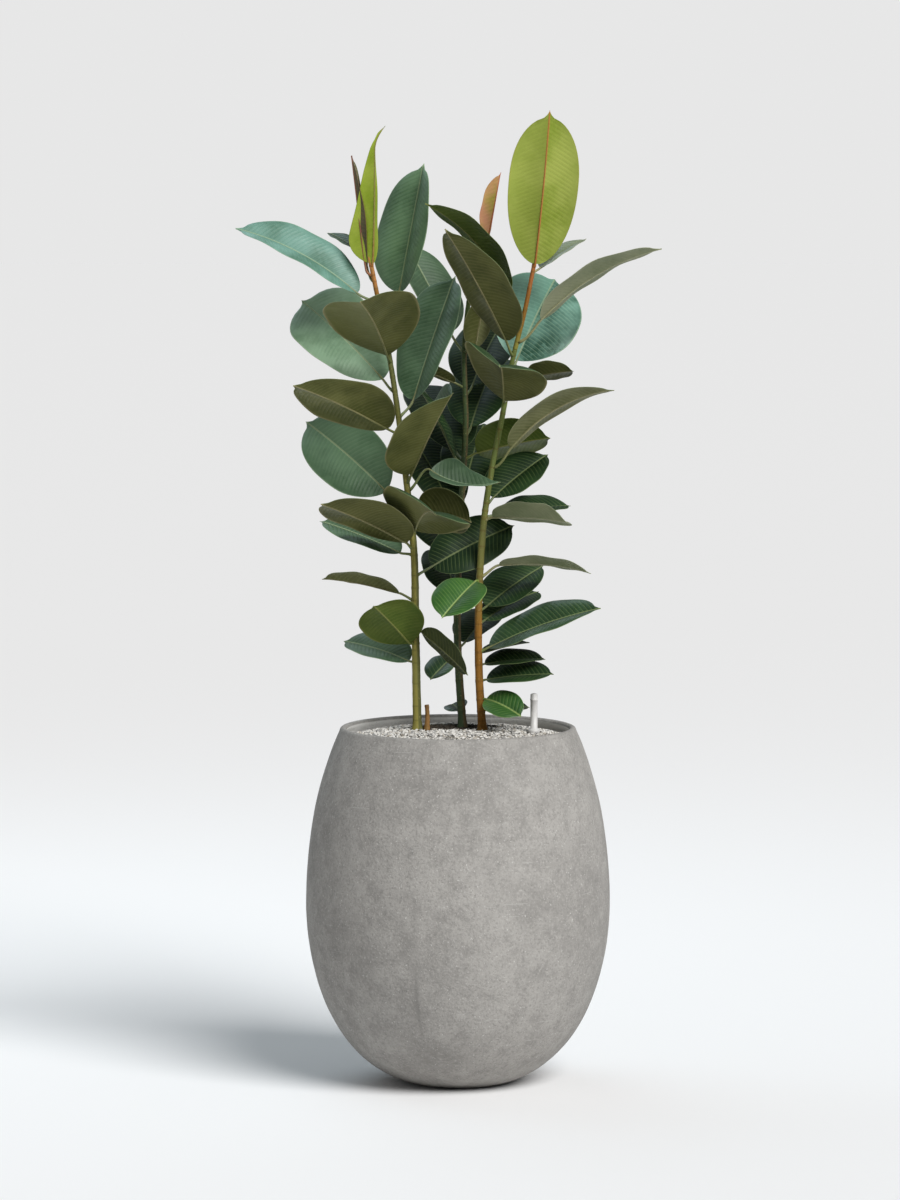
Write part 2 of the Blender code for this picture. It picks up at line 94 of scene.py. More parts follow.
# Filling
FOOT_LEVEL = 0.592
FOOT_REACH = 0.086
TERRACE_LEVEL = 0.588
TERRACE = (0.108, 0.140)
GRAVEL_EDGE = 0.578
CHIP_SIZE = (0.0050, 0.0086)
CHIP_SPACING = 0.0064
CHIP_KINDS = 28
CHIP_CORNERS = 11
CHIP_JITTER = 0.35
CHIP_PITCH = 0.87
CHIP_LIFT = 0.26
CHIP_SEED = 7
CRUMB_SIZE = (0.004, 0.007)
CRUMB_SPACING = 0.0038
CRUMB_SEED = 11
WALL_ROOM = 0.003
SOIL_PATCH = (-0.009, 0.058, 0.082, 0.055)
GAP = 0.0003

# Watering gauge and cut stub
GAUGE_PLACE = (0.1275, 0.0)
GAUGE_RADIUS = 0.0060
GAUGE_HEIGHT = 0.068
GAUGE_FOOT_RADIUS = 0.0100
GAUGE_FOOT_HEIGHT = 0.008
GAUGE_COLLAR = 0.0005
GAUGE_DOME = 0.0030
GAUGE_SIDES = 40
STUB_PLACE = (-0.0525, 0.004)
STUB_RADIUS = 0.0045
STUB_HEIGHT = 0.044
STUB_SIDES = 20
STUB_RINGS = 16

# Stems
FLARE_HEIGHT = 0.022
FLARE = 0.45
STEM_SIDES = 28
RING_STEP = 0.0022
SCAR_SPACING = 0.030
SCAR_HEIGHT = 0.0032
BUD_LENGTH = 0.030
BUD_RINGS = 12
FURROW_DEPTH = 0.045
SCAR_SWELL = 0.13
SCAR_CUT = 0.10
SCAR_ROOM = 0.010

# Leaves
PETIOLE_RADIUS = 0.0021
PETIOLE_SLANT = 0.6
PETIOLE_ROOT = 0.75
PETIOLE_RINGS = 12
RIB_SIDES = 10
RIB_RINGS = 22
RIB_END = 0.985
RIB_RADII = (0.0018, 0.0004)
BLADE_ROWS = 34
HALF_COLUMNS = (0.02, 0.055, 0.12, 0.21, 0.32, 0.44, 0.56, 0.68, 0.79, 0.88, 0.95, 0.985, 1.0)
BLADE_THICKNESS = 0.0009
MARGIN_THICKNESS = 0.0005
LEAST_HALF = 0.0004
GROOVE_DEPTH = 0.0003
GROOVE_WIDTH = 0.0012
RIPPLE = 0.007
TWIST = 5
LEAN = 0.04
WIDEST_AT = 0.47
ROUND_START = -0.004
ROUND_END = 0.955
TIP_SHARE = 0.11
TIP_FROM = 0.80
OUTLINE_POWER = 2.3
OUTLINE_ROUND = 0.55
DIRECTION_STEPS = 48
VEIN_SPACING = 0.0075
VEIN_SLANT = 0.55
BULGE = 0.09
HOOKED = {"young_blade_left_1": (0.017, 0.82)}


class Stem(NamedTuple):
    """A stem's way as (height, x, y), its radii, and the height where its leafy shoot begins."""

    way: tuple
    foot_radius: float
    tip_radius: float
    shoot_from: float


class Leaf(NamedTuple):
    """One leaf: where it springs from its stem, how its stalk and blade run, and its sizes."""

    height: float
    bearing: float
    petiole: float
    lift: float
    rise: float
    length: float
    width: float
    arch: float = 10
    roll: float = 0
    fold: float = 12
    widest: float = WIDEST_AT
    taper: float = 0
    look: str = "grown"


STEMS = {
    "left": Stem(
        way=(
            (0.592, -0.068, 0.01), (0.75, -0.071, 0.008), (0.9, -0.074, 0.006),
            (1.02, -0.087, 0.0), (1.14, -0.102, -0.004), (1.23, -0.116, -0.004),
            (1.32, -0.134, -0.002), (1.375, -0.145, 0.0),
        ),
        foot_radius=0.0074, tip_radius=0.0036, shoot_from=1.292,
    ),
    "middle": Stem(
        way=(
            (0.592, 0.008, 0.05), (0.75, -0.001, 0.066), (0.92, 0.003, 0.08),
            (1.1, 0.013, 0.086), (1.25, 0.012, 0.086), (1.33, 0.022, 0.082),
            (1.42, 0.049, 0.074),
        ),
        foot_radius=0.007, tip_radius=0.0034, shoot_from=1.262,
    ),
    "right": Stem(
        way=(
            (0.592, 0.041, 0.0), (0.7, 0.035, 0.0), (0.84, 0.036, 0.0),
            (0.95, 0.044, 0.004), (1.03, 0.056, 0.008), (1.12, 0.074, 0.008),
            (1.21, 0.09, 0.004), (1.3, 0.112, 0.0), (1.375, 0.127, -0.002),
        ),
        foot_radius=0.007, tip_radius=0.0034, shoot_from=1.232,
    ),
}

# Leaves of each stem's green shoot, the youngest first
SHOOT_LEAVES = {
    "left": (
        Leaf(
            1.372, -60, 0.004, 80, 88, 0.228, 0.084,
            arch=-4, fold=50, widest=0.18, taper=0.95, look="furled",
        ),
        Leaf(1.356, 170, 0.012, 50, 82.5, 0.192, 0.024, arch=0, fold=60, look="bronze"),
        Leaf(1.346, 130, 0.057, 58, 19, 0.094, 0.045),
        Leaf(1.312, 40, 0.043, 20, 76, 0.22, 0.132, arch=0, fold=16, widest=0.42, look="soft"),
        Leaf(1.312, 168, 0.036, 25, 27, 0.236, 0.089, arch=28, roll=32, fold=21, look="teal_painted_sheen"),
    ),
    "middle": (
        Leaf(1.412, -34, 0.004, 80, 77, 0.114, 0.046, arch=0, fold=40, look="bud"),
        Leaf(1.318, 60, 0.02, 40, 40, 0.075, 0.055),
    ),
    "right": (
        Leaf(1.372, -62, 0.004, 80, 79, 0.26, 0.119, arch=-6, roll=26, widest=0.52, look="spring"),
        Leaf(1.362, 30, 0.014, 30, 28, 0.1, 0.06, look="pale"),
        Leaf(1.273, -165, 0.059, 70, 46, 0.208, 0.092, arch=40, roll=-14, look="fresh"),
        Leaf(1.245, -15, 0.055, 46, 30, 0.24, 0.081, arch=34, roll=16, look="pale"),
    ),
}

# Single leaves of each stem, the highest first
LEAVES = {
    "left": (
        Leaf(1.212, -101, 0.025, 30, 24, 0.24, 0.166, arch=20, roll=-12, fold=20, look="grown_painted_half"),
        Leaf(1.163, 140, 0.03, 42, 35, 0.22, 0.136, roll=44, widest=0.68, look="silvery_painted_sheen"),
        Leaf(1.12, 40, 0.038, 45, 66, 0.224, 0.124, arch=4, roll=-5, fold=16, widest=0.56, look="soft"),
        Leaf(1.091, -142, 0.026, 25, 22, 0.21, 0.136, roll=-28, taper=0.6),
        Leaf(1.01, -61, 0.019, 54, 45, 0.202, 0.154, roll=-35, fold=30, widest=0.43),
        Leaf(
            0.997, -12, 0.048, 45, -9, 0.124, 0.086,
            arch=-50, roll=-26, fold=25, widest=0.25, taper=0.8, look="soft",
        ),
        Leaf(0.98, 141, 0.046, 17, 32, 0.208, 0.122, roll=56, look="soft"),
        Leaf(0.956, -32, 0.012, 10, -6, 0.104, 0.092, arch=30, roll=60),
        Leaf(0.928, -79, 0.02, 10, 12, 0.195, 0.155, arch=40, roll=26, fold=8),
        Leaf(0.9, -141, 0.014, 45, 22, 0.195, 0.12, roll=-20),
        Leaf(0.888, 160, 0.02, 10, 19, 0.152, 0.095, roll=20, look="soft"),
        Leaf(0.854, 19, 0.028, 30, 24, 0.16, 0.098, roll=-48, fold=4, look="dark"),
        Leaf(0.812, 175, 0.024, 30, 10, 0.132, 0.08, arch=14, roll=-20),
        Leaf(0.759, -34, 0.006, 0, -36, 0.115, 0.062, roll=56, look="dark"),
        Leaf(0.739, -126, 0.01, 10, 35, 0.124, 0.108, arch=5, roll=-32, look="fresh"),
        Leaf(0.707, 150, 0.008, 15, 12, 0.13, 0.085, arch=15, roll=22, look="soft"),
    ),
    "middle": (
        Leaf(1.225, -60, 0.032, 12, 68, 0.095, 0.055),
        Leaf(1.225, 132, 0.045, 46, 52, 0.185, 0.105, look="soft"),
        Leaf(1.165, -165, 0.016, 30, 20, 0.09, 0.05, roll=-20),
        Leaf(1.15, 68, 0.03, 30, 35, 0.19, 0.12, arch=20, look="dark"),
        Leaf(1.082, 72, 0.03, 30, 35, 0.19, 0.12, arch=20, look="dark"),
        Leaf(1.045, -12, 0.02, 30, 12, 0.128, 0.124, roll=36, look="fresh"),
        Leaf(1.04, 112, 0.035, 25, 32, 0.2, 0.12, arch=20, look="dark"),
        Leaf(1.035, 170, 0.016, 50, 62, 0.13, 0.07, look="dark"),
        Leaf(0.985, 78, 0.03, 25, 32, 0.18, 0.115, arch=20, look="dark"),
        Leaf(0.945, 120, 0.03, 25, 40, 0.19, 0.115, arch=20, look="dark"),
        Leaf(0.868, 115, 0.03, 25, 26, 0.18, 0.11, arch=20, look="dark"),
        Leaf(0.8, 98, 0.026, 25, 24, 0.165, 0.1, arch=20, look="dark"),
        Leaf(0.725, 62, 0.022, 25, 20, 0.14, 0.085, arch=20, look="dark"),
        Leaf(0.711, -140, 0.004, 10, -35, 0.062, 0.06, roll=10),
        Leaf(0.62, 108, 0.004, 10, 10, 0.042, 0.042, roll=20),
    ),
    "right": (
        Leaf(1.222, -132, 0.03, 60, 51, 0.242, 0.118, widest=0.42),
        Leaf(1.198, 62, 0.024, 40, 43, 0.192, 0.155, roll=-36, fold=18, look="veined_painted_sheen"),
        Leaf(1.181, -20, 0.03, 10, 9, 0.082, 0.07, roll=30),
        Leaf(1.145, -93, 0.02, 10, 20, 0.2, 0.152, arch=50, roll=24),
        Leaf(1.035, -20, 0.045, 50, 29, 0.212, 0.083, arch=44, roll=18, look="sunlit"),
        Leaf(0.975, 38, 0.014, 45, 30, 0.136, 0.096, roll=-22, taper=0.5, look="dark"),
        Leaf(0.952, 20, 0.03, 10, 5, 0.12, 0.086, roll=-16, look="dark"),
        Leaf(0.948, -35, 0.014, 20, -1, 0.152, 0.092, arch=12, roll=28, widest=0.8, look="pale"),
        Leaf(0.853, -12, 0.034, 35, -4, 0.157, 0.076, arch=24, roll=18, fold=8, look="pale"),
        Leaf(0.845, -122, 0.008, 0, -27, 0.118, 0.086, arch=8, roll=14, look="lively"),
        Leaf(0.795, 40, 0.014, 30, 26, 0.138, 0.092, roll=-22, taper=0.5, look="dark"),
        Leaf(0.773, 50, 0.012, 26, 15, 0.148, 0.072, arch=15, roll=-18, look="dark"),
        Leaf(0.727, -12, 0.014, 30, 20, 0.202, 0.102, arch=15, roll=-26),
        Leaf(0.724, 28, 0.004, 10, 8, 0.088, 0.06, look="dark"),
        Leaf(0.704, 5, 0.004, 20, 4, 0.102, 0.077, roll=-14, look="dark"),
        Leaf(0.677, -5, 0.006, 20, 5, 0.113, 0.088, roll=-20, look="dark"),
        Leaf(0.646, -40, 0.006, 10, -18, 0.08, 0.06, arch=20, roll=-35, look="lively"),
        Leaf(0.626, 18, 0.004, 10, 2, 0.075, 0.04, roll=-20),
    ),
}


class Look(NamedTuple):
    """The colours of one kind of leaf, how strongly its gloss, veins, margin and blotches show, and how much
    one half is painted paler as painted light.
    """

    upper: tuple
    upper_light: tuple
    under: tuple
    under_light: tuple
    rib: tuple
    under_rib: tuple
    stalk: tuple
    gloss: float = 0.38
    veins: float = 0.26
    margin: float = 1.0
    blotch: float = 0.12
    # share by which one half of the blade is painted paler as painted light; its sign picks the half
    pale_half: float = 0.0
    shine: float = 0.50


# The seven colours of each look stand in the order of the class
LOOKS = {
    "grown": Look(
        (0.016, 0.042, 0.015), (0.034, 0.08, 0.03), (0.058, 0.066, 0.014), (0.118, 0.122, 0.036),
        (0.22, 0.29, 0.12), (0.24, 0.215, 0.1), (0.15, 0.18, 0.05),
    ),
    "dark": Look(
        (0.008, 0.024, 0.007), (0.02, 0.048, 0.014), (0.032, 0.046, 0.008), (0.055, 0.072, 0.015),
        (0.15, 0.2, 0.075), (0.13, 0.14, 0.05), (0.09, 0.12, 0.035), gloss=0.52, veins=0.34, shine=0.18,
    ),
    "soft": Look(
        (0.044, 0.096, 0.042), (0.094, 0.172, 0.088), (0.06, 0.068, 0.018), (0.11, 0.118, 0.05),
        (0.29, 0.4, 0.23), (0.24, 0.22, 0.1), (0.17, 0.21, 0.07), gloss=0.46, veins=0.15, blotch=0.4,
    ),
    "sunlit": Look(
        (0.03, 0.066, 0.024), (0.06, 0.112, 0.044), (0.088, 0.096, 0.032), (0.16, 0.166, 0.072),
        (0.24, 0.31, 0.13), (0.28, 0.26, 0.13), (0.17, 0.19, 0.06),
    ),
    # the dark green and broad veins are the leaf's own; the pale blue-green light tone in its blotches is a
    # painted reflection, and one half is painted paler as painted light
    "veined_painted_sheen": Look(
        (0.016, 0.07, 0.04), (0.15, 0.3, 0.23), (0.09, 0.11, 0.06), (0.14, 0.16, 0.09),
        (0.28, 0.42, 0.27), (0.24, 0.24, 0.13), (0.17, 0.22, 0.1),
        gloss=0.44, veins=0.38, blotch=0.55, pale_half=-0.55,
    ),
    "lively": Look(
        (0.018, 0.072, 0.012), (0.05, 0.14, 0.026), (0.07, 0.11, 0.022), (0.11, 0.15, 0.04),
        (0.3, 0.42, 0.14), (0.23, 0.26, 0.08), (0.18, 0.26, 0.05),
    ),
    "fresh": Look(
        (0.028, 0.072, 0.01), (0.06, 0.118, 0.02), (0.052, 0.086, 0.01), (0.092, 0.128, 0.02),
        (0.22, 0.27, 0.08), (0.18, 0.19, 0.05), (0.17, 0.2, 0.045),
    ),
    # young yellow-green leaf; one half is painted paler as painted light
    "spring": Look(
        (0.18, 0.24, 0.024), (0.27, 0.33, 0.056), (0.175, 0.235, 0.02), (0.285, 0.335, 0.062),
        (0.3, 0.17, 0.03), (0.4, 0.15, 0.03), (0.42, 0.15, 0.03),
        gloss=0.42, veins=0.05, margin=0.1, pale_half=0.45,
    ),
    "furled": Look(
        (0.12, 0.175, 0.008), (0.21, 0.26, 0.024), (0.2, 0.29, 0.01), (0.33, 0.41, 0.05),
        (0.22, 0.23, 0.04), (0.24, 0.23, 0.05), (0.42, 0.15, 0.03), gloss=0.42, veins=0.1, margin=0.25,
    ),
    "bronze": Look(
        (0.08, 0.1, 0.035), (0.13, 0.13, 0.06), (0.075, 0.07, 0.035), (0.12, 0.1, 0.05),
        (0.2, 0.07, 0.04), (0.2, 0.07, 0.04), (0.3, 0.12, 0.04),
    ),
    "bud": Look(
        (0.48, 0.44, 0.06), (0.82, 0.4, 0.24), (0.46, 0.44, 0.05), (0.86, 0.4, 0.24),
        (0.6, 0.18, 0.09), (0.7, 0.2, 0.1), (0.42, 0.22, 0.06), veins=0.06, margin=0.15,
    ),
    "pale": Look(
        (0.13, 0.165, 0.085), (0.21, 0.24, 0.14), (0.15, 0.175, 0.09), (0.23, 0.245, 0.145),
        (0.34, 0.36, 0.22), (0.32, 0.33, 0.2), (0.3, 0.28, 0.12), veins=0.1,
    ),
}
# the grown look with one half of the blade painted paler as painted light
LOOKS["grown_painted_half"] = LOOKS["grown"]._replace(pale_half=0.5)
# painted reflection: the soft look with paler grey-green upper tones that stand in for the sky sheen on the
# leaf
LOOKS["silvery_painted_sheen"] = LOOKS["soft"]._replace(
    upper=(0.11, 0.195, 0.106), upper_light=(0.205, 0.32, 0.2), rib=(0.3, 0.41, 0.25),
    gloss=0.48, veins=0.12,
)
# painted reflection: the blue-green upper tones stand in for the cool sheen this leaf reflects
LOOKS["teal_painted_sheen"] = LOOKS["veined_painted_sheen"]._replace(
    upper=(0.066, 0.162, 0.108), upper_light=(0.156, 0.31, 0.25), rib=(0.26, 0.4, 0.26),
    gloss=0.46, veins=0.14, blotch=0.12, pale_half=0.0,
)
TINTS = (0.85, 1.0, 1.15)


# Shader helpers


def feed(tree, item, inputs):
    """Give each input its value, or link it where a socket is given."""
    for key, value in dict(inputs).items():
        if isinstance(value, bpy.types.NodeSocket):
            tree.links.new(value, item.inputs[key])
        else:
            item.inputs[key].default_value = value


def node(tree, kind, inputs=(), **settings):
    """Add a shader node with its settings and inputs."""
    item = tree.nodes.new(kind)
    for key, value in settings.items():
        setattr(item, key, value)
    feed(tree, item, inputs)
    return item


def attribute(tree, name):
    """The value of a point attribute."""
    return node(tree, "ShaderNodeAttribute", attribute_name=name).outputs["Fac"]


def place(tree):
    """The object's own coordinates."""
    return node(tree, "ShaderNodeTexCoord").outputs["Object"]


def coordinate(tree, axis):
    """One of the object's own coordinates: X, Y or Z."""
    return node(tree, "ShaderNodeSeparateXYZ", {0: place(tree)}).outputs[axis]


def cloud(tree, scale, detail=3.0, rough=0.55, where=None):
    """A noise value from 0 to 1 over the object's coordinates."""
    vector = place(tree) if where is None else where
    inputs = {"Vector": vector, "Scale": scale, "Detail": detail, "Roughness": rough}
    return node(tree, "ShaderNodeTexNoise", inputs).outputs["Fac"]


def drawn_out(tree, scale, detail, rough, turn=(0, 0, 0)):
    """A noise value with its own scale along each axis, after a turn."""
    inputs = {"Vector": place(tree), "Rotation": turn, "Scale": scale}
    return cloud(tree, 1.0, detail, rough, node(tree, "ShaderNodeMapping", inputs).outputs[0])


def ease(tree, value, low, high, start=0.0, end=1.0):
    """A value brought smoothly from one range to another."""
    inputs = {"Value": value, "From Min": low, "From Max": high, "To Min": start, "To Max": end}
    return node(tree, "ShaderNodeMapRange", inputs, interpolation_type="SMOOTHSTEP").outputs["Result"]


def calc(tree, operation, first, second=0.0):
    """One step of arithmetic."""
    return node(tree, "ShaderNodeMath", {0: first, 1: second}, operation=operation).outputs[0]


def rgba(colour):
    """A colour with its alpha, or the socket itself."""
    return colour if isinstance(colour, bpy.types.NodeSocket) else (*colour, 1.0)


def blend(tree, share, first, second):
    """Two colours mixed by a share."""
    inputs = {0: share, 6: rgba(first), 7: rgba(second)}
    return node(tree, "ShaderNodeMix", inputs, data_type="RGBA").outputs[2]


def layered(tree, colour, *layers):
    """A colour under layers: each has a mask, the range where it comes in, its greatest share and a tone."""
    for mask, low, high, share, tone in layers:
        colour = blend(tree, ease(tree, mask, low, high, 0.0, share), colour, tone)
    return colour


def tinted(tone, factor):
    """A tone made lighter or darker."""
    return tuple(part * factor for part in tone)


def raised(tree, height, depth, before=None):
    """A bump of a given depth in metres, on top of another one if there is one."""
    inputs = {"Height": height, "Distance": depth}
    if before is not None:
        inputs["Normal"] = before
    return node(tree, "ShaderNodeBump", inputs).outputs["Normal"]


def new_material(name, colour):
    """A new material and its tree."""
    made = bpy.data.materials.new(name)
    made.use_nodes = True
    made.diffuse_color = rgba(colour)
    return made, made.node_tree


def finished(made, colour, mask, least, most, normal, shine=0.50):
    """The material, with its colour, bump, shine and a roughness that a mask moves between two values."""
    tree = made.node_tree
    rough = ease(tree, mask, 0.3, 0.7, least, most)
    inputs = {"Base Color": colour, "Roughness": rough, "Normal": normal, "Specular IOR Level": shine}
    feed(tree, tree.nodes["Principled BSDF"], inputs)
    return made


# Materials


def concrete_material(name, tone):
    """Fibre concrete: mottled grey with pale flecks, dark pits, scratches and faint upright streaks; the
    inner wall is made paler as painted light, and the bottom darker as a painted shadow.
    """
    made, tree = new_material(name, tone)
    deep = tinted(tone, 0.70)
    pale = tinted(tone, 1.28)
    mottles = cloud(tree, 30.0, 7.0, 0.72)
    spots = cloud(tree, 230.0, 3.0, 0.6)
    grit = cloud(tree, 330.0, 2.0, 0.6)
    colour = layered(
        tree, tinted(tone, 0.90),
        (cloud(tree, 5.0, 4.0, 0.6), 0.30, 0.70, 0.60, pale),
        (mottles, 0.54, 0.32, 0.60, deep),
        (mottles, 0.50, 0.70, 0.65, pale),
        (spots, 0.48, 0.34, 0.55, deep),
        (spots, 0.54, 0.68, 0.55, pale),
        (drawn_out(tree, (22, 22, 2), 3.0, 0.6), 0.50, 0.72, 0.20, pale),
        (drawn_out(tree, (14, 14, 420), 2.0, 0.5, (0, 0.9, 0.3)), 0.69, 0.74, 0.22, (0.60, 0.59, 0.56)),
    )
    # painted light: the inner wall rows are blended towards a pale tone to stand in for the light falling
    # inside the rim
    colour = blend(tree, calc(tree, "MULTIPLY", attribute(tree, "inside"), 0.92), colour, (0.80, 0.79, 0.76))
    colour = layered(
        tree, colour,
        (attribute(tree, "seam"), 0.0, 1.0, 0.80, deep),
        (grit, 0.66, 0.74, 0.70, (0.66, 0.65, 0.62)),
        (grit, 0.34, 0.26, 0.60, (0.11, 0.105, 0.10)),
        # painted shadow: the lowest 14 mm of the planter is darkened where it meets the floor
        (coordinate(tree, "Z"), 0.014, 0.0, 0.60, (0.06, 0.058, 0.055)),
    )
    normal = raised(tree, cloud(tree, 30.0, 6.0, 0.65), 0.0022)
    normal = raised(tree, spots, 0.0009, normal)
    normal = raised(tree, grit, 0.0005, normal)
    return finished(made, colour, mottles, 0.92, 0.80, normal)


def bare_patch(tree):
    """One in the bare soil behind the stems, and zero round it."""
    middle_x, middle_y, reach_x, reach_y = SOIL_PATCH
    across = calc(tree, "DIVIDE", calc(tree, "SUBTRACT", coordinate(tree, "X"), middle_x), reach_x)
    behind = calc(tree, "DIVIDE", calc(tree, "SUBTRACT", coordinate(tree, "Y"), middle_y), reach_y)
    squares = [calc(tree, "MULTIPLY", part, part) for part in (across, behind)]
    return ease(tree, calc(tree, "ADD", *squares), 1.05, 0.85)


def stone_material(name, colour, light, soil=None):
    """Stone or earth in two tones, which turns to the two tones of soil in the bare patch."""
    made, tree = new_material(name, colour)
    mixed = ease(tree, cloud(tree, 190.0), 0.35, 0.65)
    tone = blend(tree, mixed, colour, light)
    if soil is not None:
        tone = blend(tree, bare_patch(tree), tone, blend(tree, mixed, *soil))
    normal = raised(tree, cloud(tree, 700.0), 0.0006)
    return finished(made, tone, cloud(tree, 300.0), 0.75, 0.95, normal)


def bark_material(name, foot, middle, top, low, high, side=None):
    """Bark that changes colour up the stem and on one side (a painted shade on the left stem), with cork
    specks, streaks and darker leaf scars.
    """
    made, tree = new_material(name, middle)
    height = coordinate(tree, "Z")
    half = (low + high) / 2
    colour = layered(tree, foot, (height, low, half, 1.0, middle), (height, half, high, 1.0, top))
    # a tone laid on the right side of the stem: painted shade on the left stem, brown on the middle stem
    if side is not None:
        colour = layered(tree, colour, (attribute(tree, "side"), 0.1, 0.7, 0.75, side))
    streaks = drawn_out(tree, (260, 260, 18), 4.0, 0.6)
    deep = tinted(foot, 0.42)
    colour = layered(
        tree, colour,
        (streaks, 0.52, 0.72, 0.50, deep),
        (cloud(tree, 38.0), 0.50, 0.64, 0.28, (0.130, 0.140, 0.038)),
        (cloud(tree, 420.0, 1.0), 0.66, 0.74, 0.60, (0.36, 0.28, 0.12)),
        (attribute(tree, "scar"), 0.25, 0.9, 0.45, deep),
    )
    normal = raised(tree, streaks, 0.0008)
    normal = raised(tree, cloud(tree, 500.0), 0.0004, normal)
    return finished(made, colour, streaks, 0.55, 0.80, normal, shine=0.30)


def leaf_face(name, deep, light, rib, look, under):
    """One face of a leaf: two tones, side veins, a pale midrib and a pale margin; on some looks one half is
    painted paler as painted light.
    """
    made, tree = new_material(name, deep)
    vein = calc(tree, "PINGPONG", attribute(tree, "vein"), 0.5)
    edge = attribute(tree, "edge")
    inner = ease(tree, edge, 0.97, 0.62)
    line = calc(tree, "MULTIPLY", ease(tree, vein, 0.14, 0.03), inner)
    furrow = calc(tree, "MULTIPLY", ease(tree, vein, 0.20, 0.34), inner)
    colour = layered(tree, deep, (cloud(tree, 14.0), 0.34, 0.68, 1.0, light))
    colour = blend(tree, calc(tree, "MULTIPLY", line, look.veins), colour, rib)
    colour = blend(tree, calc(tree, "MULTIPLY", furrow, look.veins * 0.5), colour, deep)
    layers = [
        (cloud(tree, 150.0), 0.42, 0.68, 0.22, light),
        (cloud(tree, 46.0, 4.0, 0.65), 0.50, 0.66, look.blotch, light),
    ]
    # painted light: one half of the blade is made paler where light falls on it
    if look.pale_half:
        side = copysign(0.05, look.pale_half)
        layers.append((attribute(tree, "half"), -side, side, abs(look.pale_half), tinted(light, 1.25)))
    start, strength = (0.930, 0.70) if under else (0.962, 0.65)
    layers.append((edge, start, 0.988, strength * look.margin, rib))
    layers.append((attribute(tree, "rib"), 0.0021, 0.0008, 0.80, rib))
    colour = layered(tree, colour, *layers)
    low = look.gloss + 0.14 if under else look.gloss
    normal = raised(tree, furrow, -0.00018 if under else 0.00022)
    normal = raised(tree, cloud(tree, 60.0), 0.0004, normal)
    shine = 0.25 if under else look.shine
    return finished(made, colour, cloud(tree, 60.0, 4.0), low - 0.04, low + 0.08, normal, shine)


def stalk_material(name, colour, tip):
    """A stalk or rib that turns from one colour to another away from the stem."""
    made, tree = new_material(name, colour)
    grain = (cloud(tree, 150.0), 0.4, 0.7, 0.35, tinted(colour, 0.5))
    tone = layered(tree, colour, (attribute(tree, "along"), 0.0, 0.7, 1.0, tip), grain)
    normal = raised(tree, cloud(tree, 300.0), 0.0003)
    return finished(made, tone, cloud(tree, 90.0), 0.38, 0.55, normal)


def plastic_material(name, colour):
    """Moulded plastic with a faint grain."""
    made, tree = new_material(name, colour)
    tone = layered(tree, colour, (cloud(tree, 90.0), 0.4, 0.7, 0.5, tinted(colour, 0.86)))
    normal = raised(tree, cloud(tree, 900.0), 0.00008)
    return finished(made, tone, cloud(tree, 40.0), 0.34, 0.46, normal)


leaf_materials = {}


def materials_of(look_name, tint):
    """The upper, lower and stalk materials of a kind of leaf in one tint, made once."""
    key = (look_name, tint)
    if key not in leaf_materials:
        look = LOOKS[look_name]
        name = f"{look_name}_{TINTS.index(tint)}"
        toned = [tinted(tone, tint) for tone in look[:4]]
        leaf_materials[key] = (
            leaf_face("upper_" + name, *toned[:2], look.rib, look, under=False),
            leaf_face("under_" + name, *toned[2:], look.under_rib, look, under=True),
            stalk_material("stalk_" + name, look.stalk, look.under_rib),
        )
    return leaf_materials[key]


# Lines and directions, by the rules of the solids


def unit(vector):
    """The vector at length one."""
    return vector / np.linalg.norm(vector)


def heading(bearing, rise):
    """A direction of length one from a bearing and a rise in degrees."""
    turn = radians(bearing)
    pitch = radians(rise)
    level = cos(pitch)
    return np.array((cos(turn) * level, sin(turn) * level, sin(pitch)))


def between(t, start, start_slope, end, end_slope):
    """The place at t of a smooth way from start to end that has the given slopes there."""
    leaving = start * (1 + 2 * t) * (1 - t) ** 2 + start_slope * t * (1 - t) ** 2
    arriving = end * t * t * (3 - 2 * t) + end_slope * t * t * (t - 1)
    return leaving + arriving


def smooth_between(height, heights, values):
    """The value at a height on a smooth line through the given values."""
    heights = np.asarray(heights)
    values = np.asarray(values)
    slopes = np.gradient(values, heights)
    low = int(np.clip(np.searchsorted(heights, height) - 1, 0, len(heights) - 2))
    step = heights[low + 1] - heights[low]
    t = (height - heights[low]) / step
    return between(t, values[low], slopes[low] * step, values[low + 1], slopes[low + 1] * step)


def stem_centre(stem, height):
    """The stem's centre at a height."""
    heights, across, deep = zip(*stem.way)
    return np.array((smooth_between(height, heights, across), smooth_between(height, heights, deep), height))


def stem_axis(stem, height):
    """The stem's direction at a height."""
    step = 0.002
    return unit(stem_centre(stem, height + step) - stem_centre(stem, height - step))


def stem_radius(stem, height):
    """The stem's radius at a height: an even taper with a flare at the foot."""
    low = stem.way[0][0]
    share = (height - low) / (stem.way[-1][0] - low)
    radius = stem.foot_radius + (stem.tip_radius - stem.foot_radius) * share
    return radius * (1 + FLARE * max(0.0, 1 - (height - low) / FLARE_HEIGHT) ** 2)


def width_share(t, leaf):
    """The blade's half width at t of its length, as a share of its greatest half width."""
    body = 0.0
    if ROUND_START < t < ROUND_END:
        reach = leaf.widest - ROUND_START if t < leaf.widest else ROUND_END - leaf.widest
        body = max(0.0, 1 - abs((t - leaf.widest) / reach) ** OUTLINE_POWER) ** OUTLINE_ROUND
        body *= 1 - leaf.taper * max(0.0, t - leaf.widest)
    tip = TIP_SHARE * ((1 - t) / (1 - ROUND_END)) ** 1.4 if t > TIP_FROM else 0.0
    return max(body, min(tip, TIP_SHARE))


# Meshes


def stand(name, data, spot=(0.0, 0.0, 0.0), way=None):
    """An object in the scene at a place; a lamp or camera also looks along a way."""
    item = bpy.data.objects.new(name, data)
    item.location = spot
    if way is not None:
        item.rotation_euler = Vector(way).to_track_quat("-Z", "Y").to_euler()
    bpy.context.scene.collection.objects.link(item)
    return item


